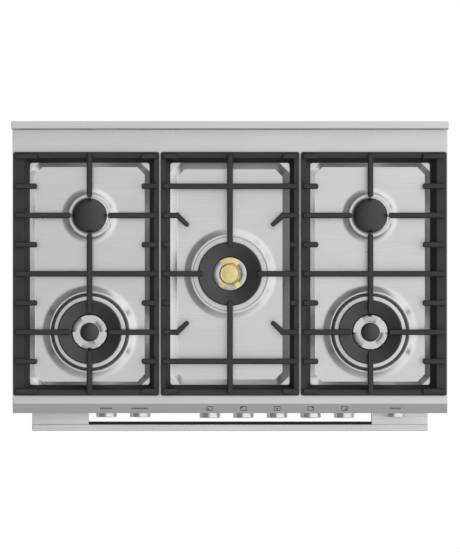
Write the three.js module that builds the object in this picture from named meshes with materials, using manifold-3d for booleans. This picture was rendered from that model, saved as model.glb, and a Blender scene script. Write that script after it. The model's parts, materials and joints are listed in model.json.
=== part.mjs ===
// Freestanding gas range with five burners, an oven and a warming drawer.
// Millimetres, +Z up, the front faces -Y. The origin is on the floor under the middle of the range.
import * as THREE from 'three';
import { mergeVertices } from 'three/addons/utils/BufferGeometryUtils.js';
import Module from 'manifold-3d';

const wasm = await Module();
wasm.setup();

// ---- driving dimensions -------------------------------------------------------------------------

const WIDTH = 896;               // over the hob top
const BODY_DEPTH = 600;          // front lip to the rear of the backguard
const DECK_Z = 900;              // height of the flat deck
const BACKGUARD_H = 62;          // above the deck
const BACKGUARD_T = 17;
const HANDLE_REACH = 40;         // handle in front of the lip
const FIT = 0.3;                 // gap between pieces that touch
const SHEET = 2;                 // sheet metal, folded and painted or brushed

const CHAMFER_RUN = 20;          // sloping label band along the front of the hob
const CHAMFER_DROP = 10;
const LIP_H = 6;                 // plain edge under the band
const FASCIA_H = 88;
const FACE_SETBACK = 20;         // fascia, door and drawer faces behind the lip
const ZONE_GAP = 6;              // between fascia, door and drawer

const FOOT_H = 60;
const KICK_SETBACK = 70;
const DRAWER_Z = 120;            // underside of the drawer front
const DRAWER_FRONT_H = 142;
const DRAWER_FRONT_T = 34;
const DRAWER_DEPTH = 400;
const DOOR_T = 38;
const SEAL_T = 6;                // door seal, and the gap it fills
const DOOR_SIDE_GAP = 3;
const HINGE_UP = 12;             // hinge axis above the door's underside
const HINGE_BACK = 15;           // and behind its face
const WINDOW_W = 600;
const WINDOW_H = 270;
const GLASS_T = 4;

const CAVITY_SIDE = 113;         // insulation and side panel beside the oven cavity
const CAVITY_TOP = 56;           // top of the cavity below the top of the door
const CAVITY_BOTTOM = 62;        // bottom of the cavity above the door's underside
const CAVITY_DEPTH = 410;
const RACK_SIDE_GAP = 4;

const FRONT_STRIP = 16.8;        // deck in front of the grates
const REAR_STRIP = 44.8;         // deck behind them
const SIDE_STRIP = 2;
const CENTRE_GRATE_W = 285;
const GRATE_GAP = 3.5;
const GRATE_H = 20;              // frame height above the deck
const FINGER_TOP = 37;           // pan plane above the deck
const FINGER_T = 12;
const FINGER_W = 10.5;
const FRAME_END = { top: 12, slope: 10 };      // front and rear bars
const FRAME_OUTER = { top: 21, slope: 13 };    // side grate, outer bar
const FRAME_INNER = { top: 11, slope: 8.6 };
const END_MARGIN = 70.7;         // grate edge to its first finger row
const FINGER_REACH = 16;         // short fingers past the frame's foot
const FINGER_INSET = 4;          // finger roots inside the grate's edge
const BURNER_CLEAR = 38;         // finger tips to the burner axis, side grates
const WOK_CLEAR = 55;            // the same, centre grate

const WELL_DEPTH = 10;
const WELL_CORNER = 12;
const SIDE_WELL_RUN = 12;
const CENTRE_WELL_RUN = 16.5;

const KNOB_R = 21.3;
const KNOB_REACH = 10.7;         // burner knobs past the lip
const OVEN_KNOB_REACH = 9.2;
const KNOB_Z_DROP = 47;          // knob axes below the deck
const KNOB_GAP = 4;              // behind the skirt, for the push
const SHAFT_R = 4;
const OVEN_KNOBS = { function: -255.4, temperature: -185.7, warmer: 341.2 };
const BURNER_KNOB_X0 = -41.8;
const BURNER_KNOB_PITCH = 69.5;
const DISPLAY_X = -113.7;
const DISPLAY_W = 80;
const DISPLAY_H = 28;

const HANDLE_L = 833;
const HANDLE_T = 13.8;
const HANDLE_H = 30;
const HANDLE_MOUNT_W = 118;
const HANDLE_DROP = 15;          // top of the handle below the top of the door

// Flats on round pieces.
const ROUND = 24;
const MEDIUM_ROUND = 20;
const SMALL_ROUND = 10;

// ---- places worked out from them ----------------------------------------------------------------

const REAR_Y = (BODY_DEPTH + HANDLE_REACH) / 2;
const LIP_Y = REAR_Y - BODY_DEPTH;
const HANDLE_Y = LIP_Y - HANDLE_REACH;
const FACE_Y = LIP_Y + FACE_SETBACK;
const HALF_W = WIDTH / 2;
const SIDE_X = HALF_W - 0.5;                        // outside of the side panels
const BAND_Z = DECK_Z - CHAMFER_DROP;
const LIP_Z = BAND_Z - LIP_H;                       // underside of the hob's folded edge
const FASCIA_Z = LIP_Z - FIT - FASCIA_H;
const DOOR_Z = DRAWER_Z + DRAWER_FRONT_H + ZONE_GAP + 3;
const DOOR_TOP = FASCIA_Z - ZONE_GAP;
const DOOR_HALF = HALF_W - DOOR_SIDE_GAP;
const CARCASS_Y = FACE_Y + DOOR_T + SEAL_T;         // plane that the oven's front flange lies in
const BACK_Y = REAR_Y - SHEET;                      // outside of the back panel
const KNOB_Z = DECK_Z - KNOB_Z_DROP;

const CAVITY_HALF = HALF_W - CAVITY_SIDE;
const CAVITY_Z0 = DOOR_Z + CAVITY_BOTTOM;
const CAVITY_Z1 = DOOR_TOP - CAVITY_TOP;
const CAVITY_MID = (CAVITY_Z0 + CAVITY_Z1) / 2;
const CAVITY_BACK = CARCASS_Y + CAVITY_DEPTH;
const BAFFLE_Y = CAVITY_BACK - 34;

const GRATE_Y0 = LIP_Y + CHAMFER_RUN + FRONT_STRIP;
const GRATE_Y1 = REAR_Y - BACKGUARD_T - REAR_STRIP;
const GRATE_MID = (GRATE_Y0 + GRATE_Y1) / 2;
const FINGER_PITCH = (GRATE_Y1 - GRATE_Y0 - 2 * END_MARGIN) / 6;
const SIDE_GRATE_X0 = CENTRE_GRATE_W / 2 + GRATE_GAP;
const SIDE_GRATE_X1 = HALF_W - SIDE_STRIP;
const frameWidth = (bar) => bar.top + bar.slope;
const SIDE_OPEN_X0 = SIDE_GRATE_X0 + frameWidth(FRAME_INNER);
const SIDE_OPEN_X1 = SIDE_GRATE_X1 - frameWidth(FRAME_OUTER);
const BURNER_X = (SIDE_OPEN_X0 + SIDE_OPEN_X1) / 2;
const REAR_BURNER_Y = GRATE_MID + 2 * FINGER_PITCH;
const FRONT_BURNER_Y = GRATE_MID - 2 * FINGER_PITCH;
const FLOOR_Z = DECK_Z - WELL_DEPTH;

// Burners: radii of the pressed boss around each, and of the parts that stand on it.
const SMALL = { boss: 58.3, bossTop: 46, bossH: 6, seat: 40, hole: 30, flange: 38.5, cap: 35.6 };
const LARGE = { boss: 97.7, bossTop: 85, bossH: 6.5, seat: 80.5, hole: 50, flange: 73.5, ring: 66,
  ringHole: 37.5, cap: 19.6 };
const WOK = { boss: 95, bossTop: 84, bossH: 6.5, seat: 80, hole: 50, flange: 76, ring: 66,
  ringHole: 35.5, cap: 20.8 };
const TROUGH_H = 3;              // floor inside a large boss, above the well floor
const BURNERS = [
  { name: 'rear_left_burner', x: -BURNER_X, y: REAR_BURNER_Y, spec: SMALL },
  { name: 'rear_right_burner', x: BURNER_X, y: REAR_BURNER_Y, spec: SMALL },
  { name: 'front_left_burner', x: -BURNER_X, y: FRONT_BURNER_Y, spec: LARGE },
  { name: 'front_right_burner', x: BURNER_X, y: FRONT_BURNER_Y, spec: LARGE },
  { name: 'centre_burner', x: 0, y: GRATE_MID, spec: WOK },
];
// Knobs from left to right; each feeds the burner named here.
const BURNER_KNOBS = ['front_left', 'rear_left', 'centre', 'rear_right', 'front_right'];
const burnerKnobX = (index) => BURNER_KNOB_X0 + index * BURNER_KNOB_PITCH;

// ---- materials ----------------------------------------------------------------------------------

const finish = (color, roughness, metalness) =>
  new THREE.MeshStandardMaterial({ color, roughness, metalness });
const brushedSteel = finish(0xc6c7c8, 0.32, 1);
const chrome = finish(0xd8d9da, 0.12, 1);
const castIron = finish(0x3e3f40, 0.6, 0.2);
const blackEnamel = finish(0x3a3b3c, 0.4, 0);
const aluminium = finish(0xb4b6b8, 0.38, 1);
const brass = finish(0xcbb77f, 0.35, 1);
const paintedSteel = finish(0x6d7073, 0.5, 0.3);
const galvanised = finish(0x9a9d9f, 0.5, 0.9);
const ovenEnamel = finish(0x24272b, 0.3, 0);
const darkGlass = finish(0x0c0d0f, 0.06, 0);
const rubber = finish(0x1c1c1d, 0.85, 0);
const nylon = finish(0x202122, 0.6, 0);

// ---- closed shapes ------------------------------------------------------------------------------

// A closed three.js geometry as a solid with merged corners and its faces pointing out.
function solid(geometry) {
  const plain = geometry.clone();
  plain.deleteAttribute('normal');
  plain.deleteAttribute('uv');
  const merged = mergeVertices(plain, 1e-3);
  const at = merged.attributes.position.array;
  const index = Array.from(merged.index.array);
  const triangles = [];
  let volume = 0;
  const corner = (i) => new THREE.Vector3(at[3 * i], at[3 * i + 1], at[3 * i + 2]);
  for (let i = 0; i < index.length; i += 3) {
    const [a, b, c] = index.slice(i, i + 3);
    if (a === b || b === c || c === a) continue;
    triangles.push([a, b, c]);
    volume += corner(a).dot(corner(b).cross(corner(c)));
  }
  const triVerts = triangles.flatMap(([a, b, c]) => (volume > 0 ? [a, b, c] : [a, c, b]));
  return new wasm.Manifold(new wasm.Mesh({
    numProp: 3, vertProperties: new Float32Array(at), triVerts: new Uint32Array(triVerts),
  }));
}

const join = (shapes) => shapes.reduce((whole, shape) => whole.add(shape));
const cut = (shape, tools) => tools.reduce((rest, tool) => rest.subtract(tool), shape);

function box([xa, xb], [ya, yb], [za, zb]) {
  const geometry = new THREE.BoxGeometry(Math.abs(xb - xa), Math.abs(yb - ya), Math.abs(zb - za));
  return solid(geometry.translate((xa + xb) / 2, (ya + yb) / 2, (za + zb) / 2));
}

const outline = (points) => new THREE.Shape(points.map(([u, v]) => new THREE.Vector2(u, v)));

// Plan outline [x, y] raised from z0 to z1.
function plate(points, z0, z1) {
  const geometry = new THREE.ExtrudeGeometry(outline(points), { depth: z1 - z0, bevelEnabled: false });
  return solid(geometry.translate(0, 0, z0));
}

// Section [y, z] run along X from x0 to x1.
function runX(points, x0, x1) {
  const geometry = new THREE.ExtrudeGeometry(outline(points), { depth: x1 - x0, bevelEnabled: false });
  const basis = new THREE.Matrix4().makeBasis(
    new THREE.Vector3(0, 1, 0), new THREE.Vector3(0, 0, 1), new THREE.Vector3(1, 0, 0));
  return solid(geometry.applyMatrix4(basis).translate(x0, 0, 0));
}

// Section [x, z] run along Y from y0 to y1.
function runY(points, y0, y1) {
  const geometry = new THREE.ExtrudeGeometry(outline(points), { depth: y1 - y0, bevelEnabled: false });
  const basis = new THREE.Matrix4().makeBasis(
    new THREE.Vector3(1, 0, 0), new THREE.Vector3(0, 0, 1), new THREE.Vector3(0, -1, 0));
  return solid(geometry.applyMatrix4(basis).translate(0, y1, 0));
}

// Profile [radius, z] turned about the vertical line through x, y.
function turned(profile, x, y, sides) {
  const points = profile.map(([r, z]) => new THREE.Vector2(r, z));
  const geometry = new THREE.LatheGeometry(points, sides);
  return solid(geometry.rotateX(Math.PI / 2).translate(x, y, 0));
}

// Profile [radius, y] turned about the fore-and-aft line through x, z.
function turnedAlongY(profile, x, z, sides) {
  const points = profile.map(([r, y]) => new THREE.Vector2(r, y));
  return solid(new THREE.LatheGeometry(points, sides).translate(x, 0, z));
}

// Round bar between two points.
function bar(from, to, radius, sides) {
  const start = new THREE.Vector3(...from);
  const along = new THREE.Vector3(...to).sub(start);
  const geometry = new THREE.CylinderGeometry(radius, radius, along.length(), sides);
  const turn = new THREE.Quaternion().setFromUnitVectors(new THREE.Vector3(0, 1, 0),
    along.clone().normalize());
  const middle = start.add(along.multiplyScalar(0.5));
  return solid(geometry.applyQuaternion(turn).translate(middle.x, middle.y, middle.z));
}

// Rectangle with its corners cut at 45 degrees.
function cutRectangle(x0, x1, y0, y1, corner) {
  return [
    [x0 + corner, y0], [x1 - corner, y0], [x1, y0 + corner], [x1, y1 - corner],
    [x1 - corner, y1], [x0 + corner, y1], [x0, y1 - corner], [x0, y0 + corner],
  ];
}

const range = new THREE.Group();

function piece(name, shape, material) {
  const mesh = shape.getMesh();
  const geometry = new THREE.BufferGeometry();
  geometry.setAttribute('position', new THREE.BufferAttribute(new Float32Array(mesh.vertProperties), 3));
  geometry.setIndex(new THREE.BufferAttribute(new Uint32Array(mesh.triVerts), 1));
  geometry.computeVertexNormals();
  const part = new THREE.Mesh(geometry, material);
  part.name = name;
  range.add(part);
}

// ---- hob ----------------------------------------------------------------------------------------

const WELL_Y0 = GRATE_Y0 + frameWidth(FRAME_END) - 5;
const WELL_Y1 = GRATE_Y1 - frameWidth(FRAME_END) + 3;
const WELLS = [
  { x0: -SIDE_OPEN_X1 - 1.5, x1: -SIDE_OPEN_X0 + 1.5, run: SIDE_WELL_RUN },
  { x0: -CENTRE_GRATE_W / 2 + frameWidth(FRAME_INNER) - 1.5,
    x1: CENTRE_GRATE_W / 2 - frameWidth(FRAME_INNER) + 1.5, run: CENTRE_WELL_RUN },
  { x0: SIDE_OPEN_X0 - 1.5, x1: SIDE_OPEN_X1 + 1.5, run: SIDE_WELL_RUN },
];

// The hollow of a well, or with grow > 0 the outside of its pan.
function wellTool({ x0, x1, run }, grow) {
  const shape = outline(cutRectangle(x0 + run, x1 - run, WELL_Y0 + run, WELL_Y1 - run, WELL_CORNER));
  const geometry = new THREE.ExtrudeGeometry(shape, {
    depth: 1, bevelEnabled: true, bevelThickness: WELL_DEPTH, bevelSize: run, bevelOffset: grow,
    bevelSegments: 1,
  });
  return solid(geometry.translate(0, 0, DECK_Z - grow));
}

function boss({ x, y, spec }) {
  const top = FLOOR_Z + spec.bossH;
  const sunk = FLOOR_Z - 1;
  const inside = spec === SMALL ? [[spec.hole, top], [spec.hole, top - SHEET]]
    : [[spec.seat, top], [spec.seat - 2, FLOOR_Z + TROUGH_H], [spec.hole, FLOOR_Z + TROUGH_H],
      [spec.hole, FLOOR_Z + TROUGH_H - SHEET], [spec.seat - 2, FLOOR_Z + TROUGH_H - SHEET],
      [spec.seat, top - SHEET]];
  const profile = [[spec.boss - 1, sunk], [spec.boss, FLOOR_Z], [spec.bossTop, top], ...inside,
    [spec.boss - 1, sunk]];
  return turned(profile, x, y, ROUND);
}

function hobTop() {
  const deckFront = LIP_Y + CHAMFER_RUN;
  const section = [
    [REAR_Y, DECK_Z], [REAR_Y, LIP_Z], [REAR_Y - SHEET, LIP_Z], [REAR_Y - SHEET, DECK_Z - SHEET],
    [deckFront + 1, DECK_Z - SHEET], [LIP_Y + SHEET, BAND_Z - 1], [LIP_Y + SHEET, LIP_Z],
    [LIP_Y, LIP_Z], [LIP_Y, BAND_Z], [deckFront, DECK_Z],
  ].reverse();
  const sideSection = [
    [REAR_Y, DECK_Z - 0.5], [REAR_Y, LIP_Z], [LIP_Y, LIP_Z], [LIP_Y, BAND_Z - 0.5],
    [deckFront, DECK_Z - 0.5],
  ].reverse();
  const folded = join([
    runX(section, -HALF_W, HALF_W),
    runX(sideSection, -HALF_W, -HALF_W + SHEET),
    runX(sideSection, HALF_W - SHEET, HALF_W),
  ]);
  const underside = box([-HALF_W, HALF_W], [LIP_Y, REAR_Y], [0, LIP_Z]);
  const pans = join(WELLS.map((well) => wellTool(well, SHEET)));
  const upperHalf = box([-HALF_W, HALF_W], [LIP_Y, REAR_Y], [LIP_Z, DECK_Z - 0.1]);
  const hollows = WELLS.map((well) => wellTool(well, 0));
  const pressed = cut(cut(join([folded, pans.intersect(upperHalf)]), [underside]), hollows);
  const bored = cut(pressed, BURNERS.map(({ x, y, spec }) =>
    turned([[0, LIP_Z - 1], [spec.boss - SHEET, LIP_Z - 1], [spec.boss - SHEET, FLOOR_Z + 1],
      [0, FLOOR_Z + 1]], x, y, ROUND)));
  return join([bored, ...BURNERS.map(boss)]);
}

function backguard() {
  const front = REAR_Y - BACKGUARD_T;
  const base = DECK_Z + FIT;
  const top = DECK_Z + BACKGUARD_H;
  const edge = 4;
  const outer = runX([[front, base], [REAR_Y, base], [REAR_Y, top], [front + edge, top],
    [front + 1.2, top - 1.2], [front, top - edge]], -HALF_W, HALF_W);
  const inner = box([-HALF_W + SHEET, HALF_W - SHEET], [front + SHEET, REAR_Y - SHEET],
    [base - 1, top - edge]);
  return cut(outer, [inner]);
}

// ---- grates -------------------------------------------------------------------------------------

const GRATE_Z0 = DECK_Z + FIT;
const FRAME_Z0 = DECK_Z + 3;
const FRAME_Z1 = DECK_Z + GRATE_H;
const PAN_Z = DECK_Z + FINGER_TOP;
const SLOPE_DROP = 13;

// Bar along X; side is +1 when its sloping face looks towards +Y.
function frameBarX(x0, x1, yOuter, side, bar) {
  const points = [[yOuter, FRAME_Z0], [yOuter, FRAME_Z1], [yOuter + side * bar.top, FRAME_Z1],
    [yOuter + side * frameWidth(bar), FRAME_Z1 - SLOPE_DROP], [yOuter + side * frameWidth(bar), FRAME_Z0]];
  return runX(points, x0, x1);
}

function frameBarY(y0, y1, xOuter, side, bar) {
  const points = [[xOuter, FRAME_Z0], [xOuter, FRAME_Z1], [xOuter + side * bar.top, FRAME_Z1],
    [xOuter + side * frameWidth(bar), FRAME_Z1 - SLOPE_DROP], [xOuter + side * frameWidth(bar), FRAME_Z0]];
  return runY(points, y0, y1);
}

const fingerY = (row) => GRATE_MID + row * FINGER_PITCH;

// Finger along X from a frame edge to its tip, with a root down to the frame.
function fingerX(xEdge, xTip, row, rootDepth) {
  const side = Math.sign(xTip - xEdge);
  const start = xEdge + side * FINGER_INSET;
  const y = [fingerY(row) - FINGER_W / 2, fingerY(row) + FINGER_W / 2];
  return join([
    box([start, xTip], y, [PAN_Z - FINGER_T, PAN_Z]),
    box([start, xEdge + side * rootDepth], y, [FRAME_Z1 - 3, PAN_Z - 1]),
  ]);
}

// Finger along Y on the line x.
function fingerAlongY(x, yEdge, yTip, rootDepth) {
  const side = Math.sign(yTip - yEdge);
  const start = yEdge + side * FINGER_INSET;
  const across = [x - FINGER_W / 2, x + FINGER_W / 2];
  return join([
    box(across, [start, yTip], [PAN_Z - FINGER_T, PAN_Z]),
    box(across, [start, yEdge + side * rootDepth], [FRAME_Z1 - 3, PAN_Z - 1]),
  ]);
}

// Raised pads along the front and rear bars, and the feet under the corners.
function padsAndFeet(x0, x1, leftPad, rightPad) {
  const pads = [];
  for (const [yEdge, side] of [[GRATE_Y0, 1], [GRATE_Y1, -1]]) {
    const y = [yEdge + side * FINGER_INSET, yEdge + side * (FRAME_END.top + 3)];
    const footY = [yEdge + side * 4, yEdge + side * 14];
    for (const [xEdge, inward, length] of [[x0, 1, leftPad], [x1, -1, rightPad]]) {
      pads.push(box([xEdge + inward * FINGER_INSET, xEdge + inward * length], y, [FRAME_Z1 - 3, PAN_Z]));
      pads.push(box([xEdge + inward * 2, xEdge + inward * 10], footY, [GRATE_Z0, FRAME_Z0 + 2]));
    }
  }
  return pads;
}

// Side grate; side is -1 for the left one.
function sideGrate(side) {
  const outer = side * SIDE_GRATE_X1;
  const inner = side * SIDE_GRATE_X0;
  const low = Math.min(outer, inner);
  const high = Math.max(outer, inner);
  const x = side * BURNER_X;
  const outerTip = side * (SIDE_OPEN_X1 - FINGER_REACH);
  const innerTip = side * (SIDE_OPEN_X0 + FINGER_REACH);
  const outerRoot = frameWidth(FRAME_OUTER);
  const innerRoot = frameWidth(FRAME_INNER);
  const shapes = [
    frameBarX(low, high, GRATE_Y0, 1, FRAME_END),
    frameBarX(low, high, GRATE_Y1, -1, FRAME_END),
    frameBarY(GRATE_Y0, GRATE_Y1, outer, -side, FRAME_OUTER),
    frameBarY(GRATE_Y0, GRATE_Y1, inner, side, FRAME_INNER),
    ...padsAndFeet(low, high, side < 0 ? 51 : 37.5, side < 0 ? 37.5 : 51),
  ];
  for (const row of [-3, -1, 1, 3]) {
    shapes.push(fingerX(outer, outerTip, row, outerRoot), fingerX(inner, innerTip, row, innerRoot));
  }
  for (const row of [-2, 2]) {
    shapes.push(fingerX(outer, x + side * BURNER_CLEAR, row, outerRoot));
    shapes.push(fingerX(inner, x - side * BURNER_CLEAR, row, innerRoot));
  }
  shapes.push(fingerX(outer, x, 0, outerRoot), fingerX(inner, x, 0, innerRoot));
  const endRoot = frameWidth(FRAME_END);
  shapes.push(fingerAlongY(x, GRATE_Y1, REAR_BURNER_Y + BURNER_CLEAR, endRoot));
  shapes.push(fingerAlongY(x, GRATE_Y0, FRONT_BURNER_Y - BURNER_CLEAR, endRoot));
  shapes.push(box([x - FINGER_W / 2, x + FINGER_W / 2],
    [FRONT_BURNER_Y + BURNER_CLEAR, REAR_BURNER_Y - BURNER_CLEAR], [PAN_Z - FINGER_T, PAN_Z]));
  return join(shapes);
}

function centreGrate() {
  const edge = CENTRE_GRATE_W / 2;
  const root = frameWidth(FRAME_INNER);
  const kneeX = 108.6;           // where the straight finger turns towards the wok burner
  const tip = { x: 84.2, y: 96.5 };
  const half = FINGER_W / 2;
  const shapes = [
    frameBarX(-edge, edge, GRATE_Y0, 1, FRAME_END),
    frameBarX(-edge, edge, GRATE_Y1, -1, FRAME_END),
    ...padsAndFeet(-edge, edge, 35, 35),
    fingerAlongY(0, GRATE_Y1, GRATE_MID + WOK_CLEAR, frameWidth(FRAME_END)),
    fingerAlongY(0, GRATE_Y0, GRATE_MID - WOK_CLEAR, frameWidth(FRAME_END)),
  ];
  for (const side of [-1, 1]) {
    shapes.push(frameBarY(GRATE_Y0, GRATE_Y1, side * edge, -side, FRAME_INNER));
    shapes.push(fingerX(side * edge, side * WOK_CLEAR, 0, root));
    for (const row of [-3, 3]) shapes.push(fingerX(side * edge, 0, row, root));
    for (const row of [-1, 1]) shapes.push(fingerX(side * edge, side * (edge - root), row, root));
    for (const row of [-2, 2]) {
      const away = Math.sign(row);
      shapes.push(fingerX(side * edge, side * kneeX, row, root));
      const knee = [side * kneeX, fingerY(row)];
      const end = [side * tip.x, GRATE_MID + away * tip.y];
      const along = new THREE.Vector2(end[0] - knee[0], end[1] - knee[1]).normalize();
      const offset = [-along.y * half, along.x * half];
      const back = [along.x * half, along.y * half];
      shapes.push(plate([
        [knee[0] - back[0] + offset[0], knee[1] - back[1] + offset[1]],
        [knee[0] - back[0] - offset[0], knee[1] - back[1] - offset[1]],
        [end[0] - offset[0], end[1] - offset[1]],
        [end[0] + offset[0], end[1] + offset[1]],
      ], PAN_Z - FINGER_T, PAN_Z));
    }
  }
  return join(shapes);
}

// ---- burners ------------------------------------------------------------------------------------

const BURNER_Z0 = FLOOR_Z - 24;  // underside of the mixing cups

function smallBurner({ name, x, y, spec }) {
  const seat = FLOOR_Z + spec.bossH + FIT;
  const crownTop = seat + 11.7;
  piece(`${name}_base`, turned([[0, BURNER_Z0], [26, BURNER_Z0], [spec.hole - 2, FLOOR_Z - 2],
    [spec.hole - 2, seat], [spec.flange, seat], [spec.flange, seat + 3], [spec.cap - 1, seat + 5],
    [spec.cap - 2, crownTop], [0, crownTop]], x, y, ROUND), aluminium);
  const capBase = crownTop + FIT;
  piece(`${name}_cap`, turned([[0, capBase], [spec.cap - 2, capBase], [spec.cap, capBase + 1.7],
    [spec.cap, capBase + 4.5], [spec.cap - 1.6, capBase + 6], [0, capBase + 8]], x, y, ROUND), blackEnamel);
}

// Profile shared by the dual-ring and wok burner bases, up to the top named.
function largeBaseProfile(spec, seat, crown) {
  return [[0, BURNER_Z0], [40, BURNER_Z0], [spec.hole - 4, FLOOR_Z - 1], [spec.hole - 4, seat],
    [spec.flange, seat], [spec.flange, seat + 3], [spec.ring - 2, seat + 5], [spec.ring - 4, seat + 14],
    [spec.ringHole + 2, seat + 14], [spec.ringHole - 2, crown], [0, crown]];
}

function outerRing(spec, seat) {
  const base = seat + 14 + FIT;
  return [[spec.ringHole + 2.6, base], [spec.ring - 6, base], [spec.ring, base + 2],
    [spec.ring, base + 12], [spec.ring - 1.5, base + 13.5], [spec.ringHole, base + 8.5],
    [spec.ringHole, base + 4], [spec.ringHole + 2.6, base]];
}

function dualRingBurner({ name, x, y, spec }) {
  const seat = FLOOR_Z + TROUGH_H + FIT;
  const crown = seat + 20;
  piece(`${name}_base`, turned(largeBaseProfile(spec, seat, crown), x, y, ROUND), aluminium);
  piece(`${name}_ring`, turned(outerRing(spec, seat), x, y, ROUND), blackEnamel);
  const cap = crown + FIT;
  piece(`${name}_cap`, turned([[0, cap], [spec.cap - 1.5, cap], [spec.cap, cap + 1.2],
    [spec.cap, cap + 4.4], [0, cap + 6]], x, y, MEDIUM_ROUND), blackEnamel);
}

function wokBurner({ name, x, y, spec }) {
  const seat = FLOOR_Z + TROUGH_H + FIT;
  const core = seat + 16;
  piece(`${name}_base`, turned(largeBaseProfile(spec, seat, core), x, y, ROUND), aluminium);
  piece(`${name}_ring`, turned(outerRing(spec, seat), x, y, ROUND), blackEnamel);
  const crown = core + FIT;
  const crownR = spec.ringHole - 1.5;
  piece(`${name}_crown`, turned([[0, crown], [crownR, crown], [crownR, crown + 3],
    [spec.cap + 1, crown + 5], [0, crown + 5]], x, y, MEDIUM_ROUND), brass);
  const cap = crown + 5 + FIT;
  piece(`${name}_cap`, turned([[0, cap], [spec.cap - 1, cap], [spec.cap, cap + 1],
    [spec.cap, cap + 4.2], [0, cap + 4.2]], x, y, MEDIUM_ROUND), brass);
}

// ---- controls -----------------------------------------------------------------------------------

const PANEL_BACK = FACE_Y + SHEET;
const SHAFT_HOLE_R = SHAFT_R + 3;
const VALVE_Y0 = PANEL_BACK + 30;          // front of the valve bodies
const PUSH = 3;                            // travel of a burner spindle

function shaftHole(x) {
  return turnedAlongY([[0, FACE_Y - 1], [SHAFT_HOLE_R, FACE_Y - 1], [SHAFT_HOLE_R, PANEL_BACK + 1],
    [0, PANEL_BACK + 1]], x, KNOB_Z, SMALL_ROUND);
}

function controlPanel() {
  const back = CARCASS_Y - FIT;
  const shell = runX([[FACE_Y, FASCIA_Z], [back, FASCIA_Z], [back, FASCIA_Z + SHEET],
    [PANEL_BACK, FASCIA_Z + SHEET], [PANEL_BACK, LIP_Z - FIT], [FACE_Y, LIP_Z - FIT]],
  -SIDE_X, SIDE_X);
  const ends = [-1, 1].map((side) =>
    box([side * SIDE_X, side * (SIDE_X - SHEET)], [FACE_Y, back], [FASCIA_Z, LIP_Z - FIT]));
  const window = box([DISPLAY_X - DISPLAY_W / 2, DISPLAY_X + DISPLAY_W / 2],
    [FACE_Y - 1, PANEL_BACK + 1], [KNOB_Z - DISPLAY_H / 2, KNOB_Z + DISPLAY_H / 2]);
  const knobs = [...Object.values(OVEN_KNOBS), ...BURNER_KNOBS.map((name, index) => burnerKnobX(index))];
  return cut(join([shell, ...ends]), [window, ...knobs.map(shaftHole)]);
}

const SOCKET_DEPTH = 18;                   // spindle inside its knob

function knob(name, x, reach) {
  const front = LIP_Y - reach;
  const rear = FACE_Y - KNOB_GAP;
  const bore = SHAFT_R + FIT;
  piece(name, turnedAlongY([[0, rear - SOCKET_DEPTH - FIT], [bore, rear - SOCKET_DEPTH - FIT],
    [bore, rear], [KNOB_R, rear], [KNOB_R, front], [0, front]], x, KNOB_Z, MEDIUM_ROUND), chrome);
}

function spindle(name, x) {
  const rear = VALVE_Y0 + 8;
  const front = FACE_Y - KNOB_GAP - SOCKET_DEPTH;
  piece(name, turnedAlongY([[0, rear], [SHAFT_R, rear], [SHAFT_R, front], [0, front]], x, KNOB_Z,
    SMALL_ROUND), galvanised);
}

// Gas rail with its five valves, a pipe from each valve to its burner, and the inlet to the rear.
function gasManifold() {
  const railY = VALVE_Y0 + 46;         // clear behind the rotary switches
  const valveBack = railY + 4;
  const boreR = SHAFT_R + 0.6;
  const boreEnd = VALVE_Y0 + 8 + PUSH + 2;
  const pipeZ = KNOB_Z - 8;
  const stop = BURNER_Z0 - 2;
  const x0 = burnerKnobX(0) - 40;
  const inletX = HALF_W - 60;
  const shapes = [bar([x0, railY, KNOB_Z], [inletX + 6, railY, KNOB_Z], 9, 8)];
  BURNER_KNOBS.forEach((feeds, index) => {
    const x = burnerKnobX(index);
    const burner = BURNERS.find(({ name }) => name === `${feeds}_burner`);
    shapes.push(turnedAlongY([[0, boreEnd], [boreR, boreEnd], [boreR, VALVE_Y0], [14, VALVE_Y0],
      [14, valveBack], [0, valveBack]], x, KNOB_Z, SMALL_ROUND));
    shapes.push(bar([x, railY + 2, pipeZ], [burner.x, burner.y, pipeZ], 3.5, 6));
    shapes.push(bar([burner.x, burner.y, pipeZ - 4], [burner.x, burner.y, stop], 5, 6));
  });
  const exitY = BACK_Y - 30;
  shapes.push(bar([inletX, railY, KNOB_Z], [inletX, exitY, KNOB_Z], 8, 8));
  shapes.push(bar([inletX, exitY - 8, KNOB_Z + 5], [inletX, exitY - 8, INLET_Z], 8, 8));
  shapes.push(bar([inletX, exitY - 14, INLET_Z + 4], [inletX, REAR_Y - 1, INLET_Z + 4], 8, 8));
  return join(shapes);
}

// Bracket with the rotary switches of the oven and the warming drawer.
function switchRail() {
  const y0 = VALVE_Y0 + 10;
  const z = [KNOB_Z - 12, KNOB_Z + 12];
  const [first, second, last] = Object.values(OVEN_KNOBS);
  const strip = [y0 + 20, y0 + 22];
  const shapes = [
    box([first - 30, second + 30], strip, z),
    box([last - 30, last + 30], strip, z),
    box([second, last], [y0 + 20, y0 + 22], [KNOB_Z + 18, KNOB_Z + 26]),
    box([second, second + 30], strip, [KNOB_Z, KNOB_Z + 26]),
    box([last - 30, last], strip, [KNOB_Z, KNOB_Z + 26]),
  ];
  const front = FACE_Y - KNOB_GAP - SOCKET_DEPTH;
  for (const x of [first, second, last]) {
    shapes.push(box([x - 18, x + 18], [y0, y0 + 21], [KNOB_Z - 18, KNOB_Z + 18]));
    shapes.push(turnedAlongY([[0, y0 + 1], [SHAFT_R, y0 + 1], [SHAFT_R, front], [0, front]], x, KNOB_Z,
      SMALL_ROUND));
  }
  return join(shapes);
}

// ---- body ---------------------------------------------------------------------------------------

const BODY_Z0 = FOOT_H + FIT;
const PANEL_T = 1.5;
const INLET_Z = 640;

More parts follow.
